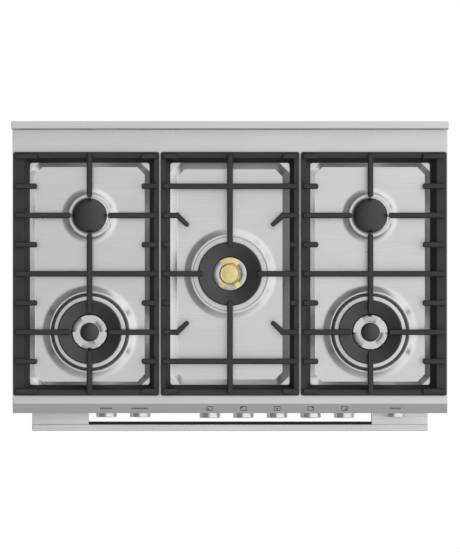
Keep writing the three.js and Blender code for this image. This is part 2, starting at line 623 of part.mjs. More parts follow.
function sidePanel(side) {
  const outer = side * SIDE_X;
  return join([
    box([outer, outer - side * PANEL_T], [CARCASS_Y, BACK_Y - SHEET - FIT], [BODY_Z0, LIP_Z - FIT]),
    box([outer, outer - side * 14], [CARCASS_Y, CARCASS_Y + SHEET], [BODY_Z0, DRAWER_Z]),
  ]);
}

const TERMINAL = { x: -300, w: 130, z: 560, h: 80, depth: 30 };

function backPanel() {
  const inletX = HALF_W - 60;
  const y = [BACK_Y - SHEET, BACK_Y];
  const { x, w, z, h, depth } = TERMINAL;
  const pocket = [BACK_Y - depth, BACK_Y];
  const hollow = box([x - w / 2, x + w / 2], [BACK_Y - depth + SHEET, BACK_Y + 1], [z - h / 2, z + h / 2]);
  const wall = box([x - w / 2 - SHEET, x + w / 2 + SHEET], pocket, [z - h / 2 - SHEET, z + h / 2 + SHEET]);
  const slots = [];
  for (let index = -4; index <= 4; index += 1) {
    slots.push(box([index * 34 - 5, index * 34 + 5], [BACK_Y - 4, BACK_Y + 1], [LIP_Z - 90, LIP_Z - 30]));
  }
  const inletHole = turnedAlongY([[0, BACK_Y - 4], [12, BACK_Y - 4], [12, BACK_Y + 1], [0, BACK_Y + 1]],
    inletX, INLET_Z + 4, SMALL_ROUND);
  const gland = turnedAlongY([[0, BACK_Y - depth - 1], [9, BACK_Y - depth - 1], [9, BACK_Y - depth + 4],
    [0, BACK_Y - depth + 4]], x, z, SMALL_ROUND);
  const sheet = box([-SIDE_X, SIDE_X], y, [BODY_Z0, LIP_Z - FIT]);
  return cut(join([sheet, wall]), [hollow, inletHole, gland, ...slots]);
}

function basePan() {
  const half = SIDE_X - PANEL_T - FIT;
  const back = BACK_Y - SHEET - FIT;
  const kickY = FACE_Y + KICK_SETBACK;
  const z = FOOT_H + FIT;
  return join([
    box([-half, half], [kickY, back], [z, z + SHEET]),
    box([-half, half], [kickY, kickY + SHEET], [z, DRAWER_Z - 5]),
    box([-half, half], [back - SHEET, back], [z, z + 30]),
  ]);
}

const FEET = [['front_left', -1, 0], ['front_right', 1, 0], ['rear_left', -1, 1], ['rear_right', 1, 1]];

function foot([name, side, rear]) {
  const x = side * (HALF_W - 50);
  const y = rear ? REAR_Y - 50 : FACE_Y + KICK_SETBACK + 40;
  piece(`foot_${name}`, turned([[0, 0], [24, 0], [24, 12], [13, 18], [13, FOOT_H - 8],
    [26, FOOT_H - 6], [26, FOOT_H], [0, FOOT_H]], x, y, 14), nylon);
}

// ---- oven ---------------------------------------------------------------------------------------

const RACK_LEVELS = [0.3, 0.66];           // guide heights as a share of the cavity
const rackZ = (share) => CAVITY_Z0 + share * (CAVITY_Z1 - CAVITY_Z0);
const GUIDE_W = 12;
const GUIDE_GAP = 10;                      // rack's underside to the guide above it

function ovenLiner() {
  const wall = SHEET;
  const flangeHalf = SIDE_X - PANEL_T - FIT;
  const shapes = [
    box([-flangeHalf, flangeHalf], [CARCASS_Y, CARCASS_Y + wall], [DOOR_Z - 4, FASCIA_Z - FIT]),
    box([-CAVITY_HALF - wall, CAVITY_HALF + wall], [CARCASS_Y, CAVITY_BACK + wall],
      [CAVITY_Z0 - wall, CAVITY_Z1 + wall]),
  ];
  const cavity = box([-CAVITY_HALF, CAVITY_HALF], [CARCASS_Y - 1, CAVITY_BACK], [CAVITY_Z0, CAVITY_Z1]);
  const hollow = cut(join(shapes), [cavity]);
  const fittings = [];
  for (const side of [-1, 1]) {
    for (const share of RACK_LEVELS) {
      for (const lift of [-6, GUIDE_GAP]) {
        fittings.push(box([side * (CAVITY_HALF + 1), side * (CAVITY_HALF - GUIDE_W)],
          [CARCASS_Y + 30, BAFFLE_Y - 20], [rackZ(share) + lift, rackZ(share) + lift + 4]));
      }
    }
  }
  const baffleHalf = FAN_R + 60;
  const baffle = box([-baffleHalf, baffleHalf], [BAFFLE_Y, BAFFLE_Y + SHEET],
    [CAVITY_MID - baffleHalf + 15, CAVITY_MID + baffleHalf - 15]);
  const grille = [];
  for (let index = -3; index <= 3; index += 1) {
    const z = CAVITY_MID + index * 14;
    grille.push(box([-46, 46], [BAFFLE_Y - 1, BAFFLE_Y + 3], [z - 3, z + 3]));
  }
  fittings.push(cut(baffle, grille));
  for (const sx of [-1, 1]) {
    for (const sz of [-1, 1]) {
      const x = sx * (baffleHalf - 12);
      const z = CAVITY_MID + sz * (baffleHalf - 27);
      fittings.push(box([x - 5, x + 5], [BAFFLE_Y + 1, CAVITY_BACK + 1], [z - 5, z + 5]));
    }
  }
  return join([hollow, ...fittings]);
}

const FAN_R = 70;

function convectionFan() {
  const y0 = BAFFLE_Y + 6;
  const y1 = CAVITY_BACK - 4;
  const shapes = [
    turnedAlongY([[0, y1 - 2], [FAN_R - 4, y1 - 2], [FAN_R - 4, y1], [0, y1]], 0, CAVITY_MID,
      MEDIUM_ROUND),
    turnedAlongY([[0, y0], [10, y0], [10, y1], [0, y1]], 0, CAVITY_MID, SMALL_ROUND),
  ];
  for (let index = 0; index < 8; index += 1) {
    const blade = new THREE.BoxGeometry(FAN_R - 22, y1 - y0 - 3, 2);
    blade.translate((FAN_R + 18) / 2, 0, 0).rotateY((index * Math.PI) / 4);
    shapes.push(solid(blade.translate(0, (y0 + y1 + 1) / 2, CAVITY_MID)));
  }
  return join(shapes);
}

function grillElement() {
  const z = CAVITY_Z1 - 26;
  const y0 = CARCASS_Y + 70;
  const y1 = BAFFLE_Y - 30;
  const back = CAVITY_BACK - FIT;
  const lanes = [-240, -160, -80, 80, 160, 240];
  const shapes = lanes.map((x) => bar([x, y0, z], [x, y1, z], 3.5, 6));
  const reach = 3;
  for (const [a, b, y] of [[0, 1, y0], [1, 2, y1], [3, 4, y1], [4, 5, y0], [2, 3, y0]]) {
    shapes.push(bar([lanes[a] - reach, y, z], [lanes[b] + reach, y, z], 3.5, 6));
  }
  for (const lane of [0, 5]) {
    shapes.push(bar([lanes[lane], y1 - 1, z], [lanes[lane], back - 2, z], 3.5, 6));
    shapes.push(box([lanes[lane] - 12, lanes[lane] + 12], [back - 3, back], [z - 10, z + 10]));
  }
  return join(shapes);
}

function ovenRack(share) {
  const rail = 5;
  const half = CAVITY_HALF - RACK_SIDE_GAP;
  const y0 = CARCASS_Y + 28;
  const y1 = BAFFLE_Y - 8;
  const z = rackZ(share) + FIT;
  const frame = cut(box([-half, half], [y0, y1], [z - 2, z + 3]), [
    box([-half + rail, half - rail], [y0 + rail, y1 - rail], [z - 3, z + 4]),
  ]);
  const stop = box([-half + 1, half - 1], [y1 - rail + 1, y1 - 1], [z + 2, z + GUIDE_GAP - 1]);
  const shapes = [frame, stop];
  const count = 12;
  for (let index = 1; index < count; index += 1) {
    const x = -half + (index * 2 * half) / count;
    shapes.push(box([x - 1.5, x + 1.5], [y0 + 1, y1 - rail + 0.5], [z - 0.5, z + 2.5]));
  }
  return join(shapes);
}

function doorSeal() {
  const y = [FACE_Y + DOOR_T + FIT, CARCASS_Y - FIT];
  const inner = 8;
  const outer = 20;
  const outside = box([-CAVITY_HALF - outer, CAVITY_HALF + outer], y, [CAVITY_Z0 - outer, CAVITY_Z1 + outer]);
  const inside = box([-CAVITY_HALF - inner, CAVITY_HALF + inner], [y[0] - 1, y[1] + 1],
    [CAVITY_Z0 - inner, CAVITY_Z1 + inner]);
  return cut(outside, [inside]);
}

// ---- door ---------------------------------------------------------------------------------------

const DOOR_BACK = FACE_Y + DOOR_T;
const HINGE_Y = FACE_Y + HINGE_BACK;
const HINGE_Z = DOOR_Z + HINGE_UP;
const HINGE_X = DOOR_HALF - 40;            // middle of each hinge knuckle
const KNUCKLE_W = 24;
const KNUCKLE_R = 11;
const PIN_R = 5;
const GLASS_Z = (CAVITY_Z0 + CAVITY_Z1) / 2 - 10;
const GLASS_LAP = 14;

// Folded skins around the window, hollow inside, with cooling slots along the top and the foot.
function doorFrame() {
  const blank = box([-DOOR_HALF, DOOR_HALF], [FACE_Y, DOOR_BACK], [DOOR_Z, DOOR_TOP]);
  const half = WINDOW_W / 2;
  const high = WINDOW_H / 2;
  const lap = GLASS_LAP;
  const tools = [
    box([-half, half], [FACE_Y - 1, DOOR_BACK + 1], [GLASS_Z - high, GLASS_Z + high]),
    box([-half - lap, half + lap], [FACE_Y - 1, FACE_Y + GLASS_T + FIT],
      [GLASS_Z - high - lap, GLASS_Z + high + lap]),
    box([-half - lap, half + lap], [DOOR_BACK - GLASS_T - FIT, DOOR_BACK + 1],
      [GLASS_Z - high - lap, GLASS_Z + high + lap]),
  ];
  const wall = SHEET;
  const inside = [FACE_Y + wall, DOOR_BACK - wall];
  const hingeTop = HINGE_Z + KNUCKLE_R + 22;
  const surround = box([-half - lap - wall, half + lap + wall], [FACE_Y, DOOR_BACK],
    [GLASS_Z - high - lap - wall, GLASS_Z + high + lap + wall]);
  const hollow = join([
    box([-DOOR_HALF + wall, DOOR_HALF - wall], inside, [hingeTop + wall, DOOR_TOP - wall]),
    box([-HINGE_X + 30, HINGE_X - 30], inside, [DOOR_Z + wall, hingeTop + wall + 1]),
  ]);
  tools.push(hollow.subtract(surround));
  for (let index = -5; index <= 5; index += 1) {
    const slot = [index * 60 - 20, index * 60 + 20];
    const middle = [FACE_Y + DOOR_T / 2 - 3, FACE_Y + DOOR_T / 2 + 3];
    tools.push(box(slot, middle, [DOOR_Z - 1, DOOR_Z + wall + 1]));
    tools.push(box(slot, middle, [DOOR_TOP - wall - 1, DOOR_TOP + 1]));
  }
  for (const side of [-1, 1]) {
    const gap = KNUCKLE_W / 2 + 1;
    tools.push(box([side * HINGE_X - gap, side * HINGE_X + gap], [HINGE_Y - KNUCKLE_R - 1, DOOR_BACK + 1],
      [DOOR_Z - 1, hingeTop]));
    const reach = KNUCKLE_W / 2 + 12;
    tools.push(bar([side * HINGE_X - reach, HINGE_Y, HINGE_Z], [side * HINGE_X + reach, HINGE_Y, HINGE_Z],
      PIN_R + FIT, SMALL_ROUND));
  }
  return cut(blank, tools);
}

function doorGlass(y0) {
  const half = WINDOW_W / 2 + GLASS_LAP - FIT;
  const high = WINDOW_H / 2 + GLASS_LAP - FIT;
  return box([-half, half], [y0, y0 + GLASS_T], [GLASS_Z - high, GLASS_Z + high]);
}

// Hinge leaf on the oven's front flange with a pin through the door's foot.
function doorHinge(side) {
  const x = side * HINGE_X;
  const half = KNUCKLE_W / 2;
  const reach = half + 10;
  return join([
    box([x - half, x + half], [HINGE_Y, CARCASS_Y - FIT], [HINGE_Z - 6, HINGE_Z + 6]),
    box([x - half, x + half], [CARCASS_Y - FIT - 3, CARCASS_Y - FIT], [HINGE_Z - 6, HINGE_Z + 26]),
    bar([x - half, HINGE_Y, HINGE_Z], [x + half, HINGE_Y, HINGE_Z], KNUCKLE_R - 2, SMALL_ROUND),
    bar([x - reach, HINGE_Y, HINGE_Z], [x + reach, HINGE_Y, HINGE_Z], PIN_R, SMALL_ROUND),
  ]);
}

function doorHandle() {
  const top = DOOR_TOP - HANDLE_DROP;
  const z = [top - HANDLE_H, top];
  const half = HANDLE_L / 2;
  const edge = 2.5;
  const section = [[HANDLE_Y + edge, z[0]], [HANDLE_Y + HANDLE_T, z[0]], [HANDLE_Y + HANDLE_T, z[1]],
    [HANDLE_Y + edge, z[1]], [HANDLE_Y, z[1] - edge], [HANDLE_Y, z[0] + edge]];
  const mounts = [-1, 1].map((side) => box([side * half, side * (half - HANDLE_MOUNT_W)],
    [HANDLE_Y + HANDLE_T - 1, FACE_Y - FIT], [z[0] + 3, z[1] - 1]));
  return join([runX(section, -half, half), ...mounts]);
}

// ---- warming drawer -----------------------------------------------------------------------------

const DRAWER_TOP = DRAWER_Z + DRAWER_FRONT_H;
const GRIP = { w: 300, h: 22, depth: 14, drop: 16 };
const RUNNER_Z = DRAWER_Z + 100;
const TRAY_HALF = HALF_W - 68;

// Folded pan, open behind, with a sunk grip near its top edge.
function drawerFront() {
  const rear = FACE_Y + DRAWER_FRONT_T;
  const z1 = DRAWER_TOP - GRIP.drop;
  const z0 = z1 - GRIP.h;
  const half = GRIP.w / 2;
  const pan = cut(box([-DOOR_HALF, DOOR_HALF], [FACE_Y, rear], [DRAWER_Z, DRAWER_TOP]), [
    box([-DOOR_HALF + SHEET, DOOR_HALF - SHEET], [FACE_Y + SHEET, rear + 1],
      [DRAWER_Z + SHEET, DRAWER_TOP - SHEET]),
  ]);
  const cup = box([-half - SHEET, half + SHEET], [FACE_Y, FACE_Y + GRIP.depth + SHEET],
    [z0 - SHEET, z1 + SHEET]);
  return cut(join([pan, cup]), [box([-half, half], [FACE_Y - 1, FACE_Y + GRIP.depth], [z0, z1])]);
}

function drawerTray() {
  const y0 = FACE_Y + DRAWER_FRONT_T + FIT;
  const y1 = y0 + DRAWER_DEPTH;
  const z0 = DRAWER_Z + 6;
  const z1 = RUNNER_Z + FIT + 4;
  const shell = cut(box([-TRAY_HALF, TRAY_HALF], [y0, y1], [z0, z1]), [
    box([-TRAY_HALF + SHEET, TRAY_HALF - SHEET], [y0 + SHEET, y1 - SHEET], [z0 + SHEET, z1 + 1]),
  ]);
  const lips = [-1, 1].map((side) => box([side * (TRAY_HALF - 1), side * (TRAY_HALF + 16)],
    [y0 + 30, y1 - 1], [RUNNER_Z + FIT, RUNNER_Z + FIT + 3]));
  return join([shell, ...lips]);
}

// Angle rail fixed to the side panel; the tray's rolled lip runs on it.
function drawerRunner(side) {
  const outer = side * (SIDE_X - PANEL_T - FIT);
  const inner = side * (TRAY_HALF + 3);
  const y = [CARCASS_Y + 6, BACK_Y - SHEET - 40];
  return join([
    box([outer, inner], y, [RUNNER_Z - 3, RUNNER_Z]),
    box([outer, outer - side * 3], y, [RUNNER_Z - 30, RUNNER_Z]),
  ]);
}

// ---- assembly -----------------------------------------------------------------------------------

piece('hob_top', hobTop(), brushedSteel);
piece('backguard', backguard(), brushedSteel);
piece('grate_left', sideGrate(-1), castIron);
piece('grate_centre', centreGrate(), castIron);
piece('grate_right', sideGrate(1), castIron);
for (const burner of BURNERS) {
  if (burner.spec === SMALL) smallBurner(burner);
  else if (burner.spec === LARGE) dualRingBurner(burner);
  else wokBurner(burner);
}

piece('control_panel', controlPanel(), brushedSteel);
piece('display_window', box([DISPLAY_X - DISPLAY_W / 2 + FIT, DISPLAY_X + DISPLAY_W / 2 - FIT],
  [FACE_Y, PANEL_BACK + 2], [KNOB_Z - DISPLAY_H / 2 + FIT, KNOB_Z + DISPLAY_H / 2 - FIT]), darkGlass);
for (const [name, x] of Object.entries(OVEN_KNOBS)) knob(`knob_${name}`, x, OVEN_KNOB_REACH);
BURNER_KNOBS.forEach((name, index) => {
  knob(`knob_${name}`, burnerKnobX(index), KNOB_REACH);
  spindle(`spindle_${name}`, burnerKnobX(index));
});
piece('gas_manifold', gasManifold(), galvanised);
piece('switch_rail', switchRail(), nylon);

piece('side_panel_left', sidePanel(-1), paintedSteel);
piece('side_panel_right', sidePanel(1), paintedSteel);
piece('back_panel', backPanel(), galvanised);
piece('base_pan', basePan(), galvanised);
FEET.forEach(foot);

piece('oven_liner', ovenLiner(), ovenEnamel);
piece('convection_fan', convectionFan(), galvanised);
piece('grill_element', grillElement(), galvanised);
piece('oven_rack_lower', ovenRack(RACK_LEVELS[0]), chrome);
piece('oven_rack_upper', ovenRack(RACK_LEVELS[1]), chrome);
piece('door_seal', doorSeal(), rubber);

piece('door_frame', doorFrame(), brushedSteel);
piece('door_glass_outer', doorGlass(FACE_Y), darkGlass);
piece('door_glass_inner', doorGlass(DOOR_BACK - GLASS_T), darkGlass);
piece('door_hinge_left', doorHinge(-1), galvanised);
piece('door_hinge_right', doorHinge(1), galvanised);
piece('door_handle', doorHandle(), brushedSteel);

piece('drawer_front', drawerFront(), brushedSteel);
piece('drawer_tray', drawerTray(), galvanised);
piece('drawer_runner_left', drawerRunner(-1), galvanised);
piece('drawer_runner_right', drawerRunner(1), galvanised);

export default range;
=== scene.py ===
"""Freestanding gas range with five burners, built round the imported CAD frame.

Metres, +Z up, the front faces -Y. Sizes written in millimetres are multiplied by MM.
"""
import json
import math

import bmesh
import bpy
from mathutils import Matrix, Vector


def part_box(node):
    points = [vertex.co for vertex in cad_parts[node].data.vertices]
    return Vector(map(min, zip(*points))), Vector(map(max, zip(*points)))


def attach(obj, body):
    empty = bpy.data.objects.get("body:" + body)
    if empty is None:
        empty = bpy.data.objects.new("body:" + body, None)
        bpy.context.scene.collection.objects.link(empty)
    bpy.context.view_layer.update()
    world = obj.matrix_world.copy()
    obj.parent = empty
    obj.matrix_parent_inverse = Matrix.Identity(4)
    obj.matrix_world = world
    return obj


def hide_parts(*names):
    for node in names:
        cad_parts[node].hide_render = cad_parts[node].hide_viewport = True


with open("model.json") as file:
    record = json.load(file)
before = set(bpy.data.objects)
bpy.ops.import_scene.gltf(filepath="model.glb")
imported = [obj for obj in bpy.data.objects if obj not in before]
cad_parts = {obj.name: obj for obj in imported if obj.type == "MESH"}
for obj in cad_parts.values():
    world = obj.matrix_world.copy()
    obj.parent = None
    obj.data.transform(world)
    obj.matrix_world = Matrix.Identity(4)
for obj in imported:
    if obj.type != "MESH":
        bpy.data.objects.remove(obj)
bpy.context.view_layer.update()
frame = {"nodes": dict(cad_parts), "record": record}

MM = 0.001
FULL_TURN = 2 * math.pi
FINE = 96            # steps round a burner part
PLAIN = 48           # steps round a knob

# ---- places read from the frame ----

BODY_OF = {node: body for body, nodes in frame["record"]["behaviour"]["bodies"].items() for node in nodes}


def middle(node):
    low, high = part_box(node)
    return (low + high) / 2


HOB_LOW, HOB_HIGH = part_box("hob_top")
DECK = HOB_HIGH.z
LIP_Y = HOB_LOW.y
HALF_WIDTH = HOB_HIGH.x
CHAMFER_RUN = 20 * MM   # the sloping band that carries the marks
CHAMFER_DROP = 10 * MM
WELL_FLOOR = DECK - 10 * MM
FLOOR_MM = WELL_FLOOR / MM
HAIR = 0.1 * MM      # what one solid stands proud of another where they would share a plane


# ---- modelling by hand ----

def choose(*pieces):
    """Makes these the only selected objects, and the first one active."""
    bpy.ops.object.select_all(action="DESELECT")
    for piece in pieces:
        piece.select_set(True)
    bpy.context.view_layer.objects.active = pieces[0]
    return pieces[0]


def named(piece, name):
    piece.name = name
    piece.data.name = name
    return piece


def settle(piece, name):
    """Names a piece and moves its place, turn and size into its mesh."""
    choose(piece)
    bpy.ops.object.transform_apply(location=True, rotation=True, scale=True)
    return named(piece, name)


def block(name, low, high):
    """Box between two corners."""
    place = [(a + b) / 2 for a, b in zip(low, high)]
    size = [abs(b - a) for a, b in zip(low, high)]
    bpy.ops.mesh.primitive_cube_add(size=1, location=place, scale=size)
    return settle(bpy.context.object, name)


def sheet(name, low, high, height):
    """Level rectangle between two corners."""
    place = ((low[0] + high[0]) / 2, (low[1] + high[1]) / 2, height)
    bpy.ops.mesh.primitive_plane_add(size=1, location=place)
    piece = bpy.context.object
    piece.scale = (high[0] - low[0], high[1] - low[1], 1)
    return settle(piece, name)


class editing:
    """Edit mode on one piece, entered with nothing selected."""

    def __init__(self, piece):
        self.piece = piece

    def __enter__(self):
        choose(self.piece)
        bpy.ops.object.mode_set(mode="EDIT")
        bpy.ops.mesh.select_mode(type="VERT")
        bpy.ops.mesh.select_all(action="DESELECT")

    def __exit__(self, *problem):
        bpy.ops.object.mode_set(mode="OBJECT")


def pick_all():
    bpy.ops.mesh.select_all(action="SELECT")


def pick(kind, test):
    """Selects what passes a test of place and direction, in edit mode.

    The direction is a face's or a point's normal, or the line along an edge.
    """
    bpy.ops.mesh.select_mode(type=kind)
    bpy.ops.mesh.select_all(action="DESELECT")
    shape = bmesh.from_edit_mesh(bpy.context.object.data)
    if kind == "FACE":
        found = [face for face in shape.faces if test(face.calc_center_median(), face.normal)]
    elif kind == "EDGE":
        found = []
        for edge in shape.edges:
            a, b = (point.co for point in edge.verts)
            if test((a + b) / 2, (b - a).normalized()):
                found.append(edge)
    else:
        found = [point for point in shape.verts if test(point.co, point.normal)]
    for part in found:
        part.select_set(True)
    shape.select_flush_mode()
    bmesh.update_edit_mesh(bpy.context.object.data)


def pick_open_edges(test):
    """Selects the open edges of a sheet that pass a test of place."""
    bpy.ops.mesh.select_mode(type="EDGE")
    bpy.ops.mesh.select_all(action="DESELECT")
    shape = bmesh.from_edit_mesh(bpy.context.object.data)
    for edge in shape.edges:
        a, b = (point.co for point in edge.verts)
        if len(edge.link_faces) < 2 and test((a + b) / 2):
            edge.select_set(True)
    shape.select_flush_mode()
    bmesh.update_edit_mesh(bpy.context.object.data)


def merge(distance):
    bpy.ops.mesh.remove_doubles(threshold=distance)


def extrude(*move):
    bpy.ops.mesh.extrude_region_move(TRANSFORM_OT_translate={"value": move})


def round_edges(test, width, segments):
    """Rounds the edges that pass a test of place and line, in edit mode."""
    pick("EDGE", test)
    bpy.ops.mesh.bevel(offset=width, segments=segments, affect="EDGES")


def round_uprights(width, segments):
    round_edges(lambda place, line: abs(line.z) > 0.7, width, segments)


def modify(piece, kind, **settings):
    """Adds a modifier and applies it."""
    choose(piece)
    modifier = piece.modifiers.new(kind.title(), kind)
    for setting, value in settings.items():
        setattr(modifier, setting, value)
    bpy.ops.object.modifier_apply(modifier=modifier.name)
    return piece


def smooth(piece, angle=35):
    """Smooth shading up to the angle, with the large faces kept flat."""
    choose(piece)
    bpy.ops.object.shade_smooth_by_angle(angle=math.radians(angle))
    modify(piece, "WEIGHTED_NORMAL", keep_sharp=True)
    return piece


def ease(piece, width, segments=2, angle=30):
    """Rounds the edges that are sharper than the angle."""
    return modify(piece, "BEVEL", width=width, segments=segments, limit_method="ANGLE",
                  angle_limit=math.radians(angle), use_clamp_overlap=True)


def soften(piece, width, segments=2, angle=30):
    """Rounds the sharp edges and shades the piece smooth."""
    return smooth(ease(piece, width, segments, angle))


def combine(piece, others):
    """Makes one solid of a piece and the others."""
    for other in others:
        modify(piece, "BOOLEAN", object=other, operation="UNION", solver="EXACT")
        bpy.data.objects.remove(other)
    return piece


def joined(name, pieces):
    """Several shells as one object."""
    piece = choose(*pieces)
    bpy.ops.object.join()
    return named(piece, name)


def copied(piece, name, shift=(0, 0, 0), mirror=False):
    """Copy with its own mesh, mirrored left to right or moved."""
    choose(piece)
    bpy.ops.object.duplicate(linked=False)
    copy = bpy.context.object
    if mirror:
        copy.scale.x = -1
    copy.location = shift
    settle(copy, name)
    if mirror:
        bpy.ops.mesh.customdata_custom_splitnormals_clear()
        with editing(copy):
            pick_all()
            bpy.ops.mesh.normals_make_consistent(inside=False)
        smooth(copy)
    return copy


def rounded(points, cut, steps=3):
    """The same outline with each corner between its ends rounded over the length cut."""
    shape = [Vector(points[0])]
    for before, corner, after in zip(points, points[1:], points[2:]):
        corner = Vector(corner)
        arms = [Vector(before) - corner, Vector(after) - corner]
        start, end = (corner + arm.normalized() * min(cut, arm.length * 0.45) for arm in arms)
        for step in range(steps + 1):
            t = step / steps
            shape.append(start * (1 - t) ** 2 + corner * 2 * t * (1 - t) + end * t ** 2)
    return shape + [Vector(points[-1])]


def turned(name, profile, centre=(0, 0), steps=FINE, angle=FULL_TURN, start=0):
    """Turns (radius, height) points in millimetres about the vertical line through the centre.

    The profile starts and ends on the line, or closes on itself. Less than a full turn runs
    clockwise from the angle start, and its two ends are closed.
    """
    bpy.ops.mesh.primitive_plane_add(size=MM)
    piece = bpy.context.object
    points = [Vector(point) * MM for point in profile]
    with editing(piece):
        pick_all()
        bpy.ops.mesh.merge(type="CENTER")
        bpy.ops.transform.translate(value=(points[0].x, 0, points[0].y))
        for a, b in zip(points, points[1:]):
            extrude(b.x - a.x, 0, b.y - a.y)
        pick_all()
        if angle < FULL_TURN:
            merge(HAIR / 100)
            bpy.ops.mesh.edge_face_add()
        bpy.ops.mesh.spin(steps=steps, angle=angle, center=(0, 0, 0), axis=(0, 0, 1))
        pick_all()
        merge(HAIR / 100)
        bpy.ops.mesh.normals_make_consistent(inside=False)
    piece.rotation_euler.z = start
    piece.location = (centre[0], centre[1], 0)
    return settle(piece, name)


def softened_copy(node, name, width, segments=2, angle=30):
    """Copy of a CAD node with its corner points merged, its flats whole and its edges rounded."""
    piece = bpy.data.objects.new(name, frame["nodes"][node].data.copy())
    bpy.context.scene.collection.objects.link(piece)
    piece.data.name = name
    with editing(piece):
        pick_all()
        merge(HAIR / 10)
        bpy.ops.mesh.dissolve_limited(angle_limit=math.radians(0.5))
    return soften(piece, width, segments, angle)


# ---- finishes ----

def linear(colour):
    """A colour written as #rrggbb in sRGB, as the linear one that the shader needs."""
    shares = [int(colour[i:i + 2], 16) / 255 for i in (1, 3, 5)]
    return [s / 12.92 if s <= 0.04045 else ((s + 0.055) / 1.055) ** 2.4 for s in shares] + [1]


def connect(node, inputs):
    """Sets a node's inputs to values or to other nodes' outputs; a node stands for its first output."""
    for socket, value in inputs.items():
        if isinstance(value, bpy.types.Node):
            value = value.outputs[0]
        if isinstance(value, bpy.types.NodeSocket):
            node.id_data.links.new(value, node.inputs[socket])
        else:
            node.inputs[socket].default_value = value


def add(tree, kind, inputs=None, ends=(), **settings):
    """Adds a node with its settings and links; ends are the place and colour of a ramp's two ends."""
    node = tree.nodes.new("ShaderNode" + kind)
    for setting, value in settings.items():
        setattr(node, setting, value)
    for index, (place, colour) in enumerate(ends):
        node.color_ramp.elements[index].position = place
        node.color_ramp.elements[index].color = linear(colour)
    connect(node, inputs or {})
    return node


def started(name, **constants):
    """A new material, its tree, its shader with constant inputs set, and Object coordinates."""
    material = bpy.data.materials.new(name)
    material.use_nodes = True
    tree = material.node_tree
    shader = tree.nodes["Principled BSDF"]
    connect(shader, {socket.replace("_", " "): value for socket, value in constants.items()})
    return material, tree, shader, add(tree, "TexCoord").outputs["Object"]


LEAST, MOST = 0.3, 0.7       # nearly all of a noise lies between these


def skin(name, tone, grain, depth=0, strength=0.5, detail=2.0, roughness=0.5, **constants):
    """A finish whose colour follows one noise and whose roughness, and relief, follow another.

    tone is the first noise's size in millimetres and two colours, grain the second's and two
    roughnesses. depth is the relief's, in millimetres.
    """
    material, tree, shader, place = started(name, **constants)
    if tone:
        clouds = add(tree, "TexNoise", {"Vector": place, "Scale": 1 / (tone[0] * MM)})
        colour = add(tree, "ValToRGB", {"Fac": clouds}, ends=((LEAST, tone[1]), (MOST, tone[2])))
        connect(shader, {"Base Color": colour})
    pattern = add(tree, "TexNoise", {"Vector": place, "Scale": 1 / (grain[0] * MM), "Detail": detail,
                                     "Roughness": roughness})
    sheen = add(tree, "MapRange", {"Value": pattern, "From Min": LEAST, "From Max": MOST,
                                   "To Min": grain[1], "To Max": grain[2]})
    connect(shader, {"Roughness": sheen})
    if depth:
        relief = add(tree, "Bump", {"Height": pattern, "Distance": depth * MM, "Strength": strength})
        connect(shader, {"Normal": relief})
    return material


def brushed_stainless(name, dark, light, rough, line, depth):
    """Stainless steel sheet, ground with a belt from side to side: a soft sheen with fine streaks.

    Real belt lines are 0.1 mm apart; they are drawn 1 to 2 mm apart so that they show.
    """
    material, tree, shader, place = started(name, Metallic=1.0)
    drawn_out = add(tree, "Mapping", {"Vector": place, "Scale": (0.012, 1, 1)})
    streaks = add(tree, "TexNoise", {"Vector": drawn_out, "Scale": 1 / (line * MM), "Detail": 3})
    widened = add(tree, "Mapping", {"Vector": place, "Scale": (0.35, 1, 1)})
    clouds = add(tree, "TexNoise", {"Vector": widened, "Scale": 1 / (60 * MM)})
    connect(shader, {
        "Base Color": add(tree, "ValToRGB", {"Fac": streaks}, ends=((LEAST, dark), (MOST, light))),
        "Roughness": add(tree, "MapRange", {"Value": clouds, "From Min": LEAST, "From Max": MOST,
                                            "To Min": rough[0], "To Max": rough[1]}),
        "Normal": add(tree, "Bump", {"Height": streaks, "Distance": depth * MM, "Strength": 1}),
    })
    return material


def cast_iron():
    """Grates: sand-cast iron under matt black enamel, dark grey with a fine orange-peel grain.

    The real grain is about 1 mm; it is drawn at 2.5 mm so that it shows. Upward faces are painted paler
    and steep faces darker, which is painted light and shade, mixed with rubbed patches; pans rub the upper
    faces to a faint shine, and the steep faces stay dull.
    """
    material, tree, shader, place = started("matt_enamelled_cast_iron", IOR=1.66)
    grain = add(tree, "TexNoise", {"Vector": place, "Scale": 1 / (2.5 * MM), "Detail": 4,
                                   "Roughness": 0.6})
    patches = add(tree, "TexNoise", {"Vector": place, "Scale": 1 / (45 * MM)})
    # Upward faces get a paler colour and steep faces a darker one: painted light and shade, mixed with
    # rubbed patches.
    facing = add(tree, "NewGeometry").outputs["Normal"]
    upward = add(tree, "SeparateXYZ", {"Vector": facing}).outputs["Z"]
    rubbed = add(tree, "Math", {0: patches, 1: 0.16, 2: -0.08}, operation="MULTIPLY_ADD")
    rubbing_and_painted_top_light = add(tree, "Math", {0: upward, 1: rubbed}, operation="ADD")
    dullness = add(tree, "MapRange", {"Value": rubbing_and_painted_top_light, "From Min": 0.2, "From Max": 0.6,
                                      "To Min": 0.9, "To Max": 0.36})
    connect(shader, {
        "Base Color": add(tree, "ValToRGB", {"Fac": rubbing_and_painted_top_light}, ends=((0.3, "#0b0b0b"), (1, "#242424"))),
        "Roughness": add(tree, "Math", {0: grain, 1: 0.1, 2: dullness}, operation="MULTIPLY_ADD"),
        "Normal": add(tree, "Bump", {"Height": grain, "Distance": 0.05 * MM, "Strength": 0.5}),
    })
    return material


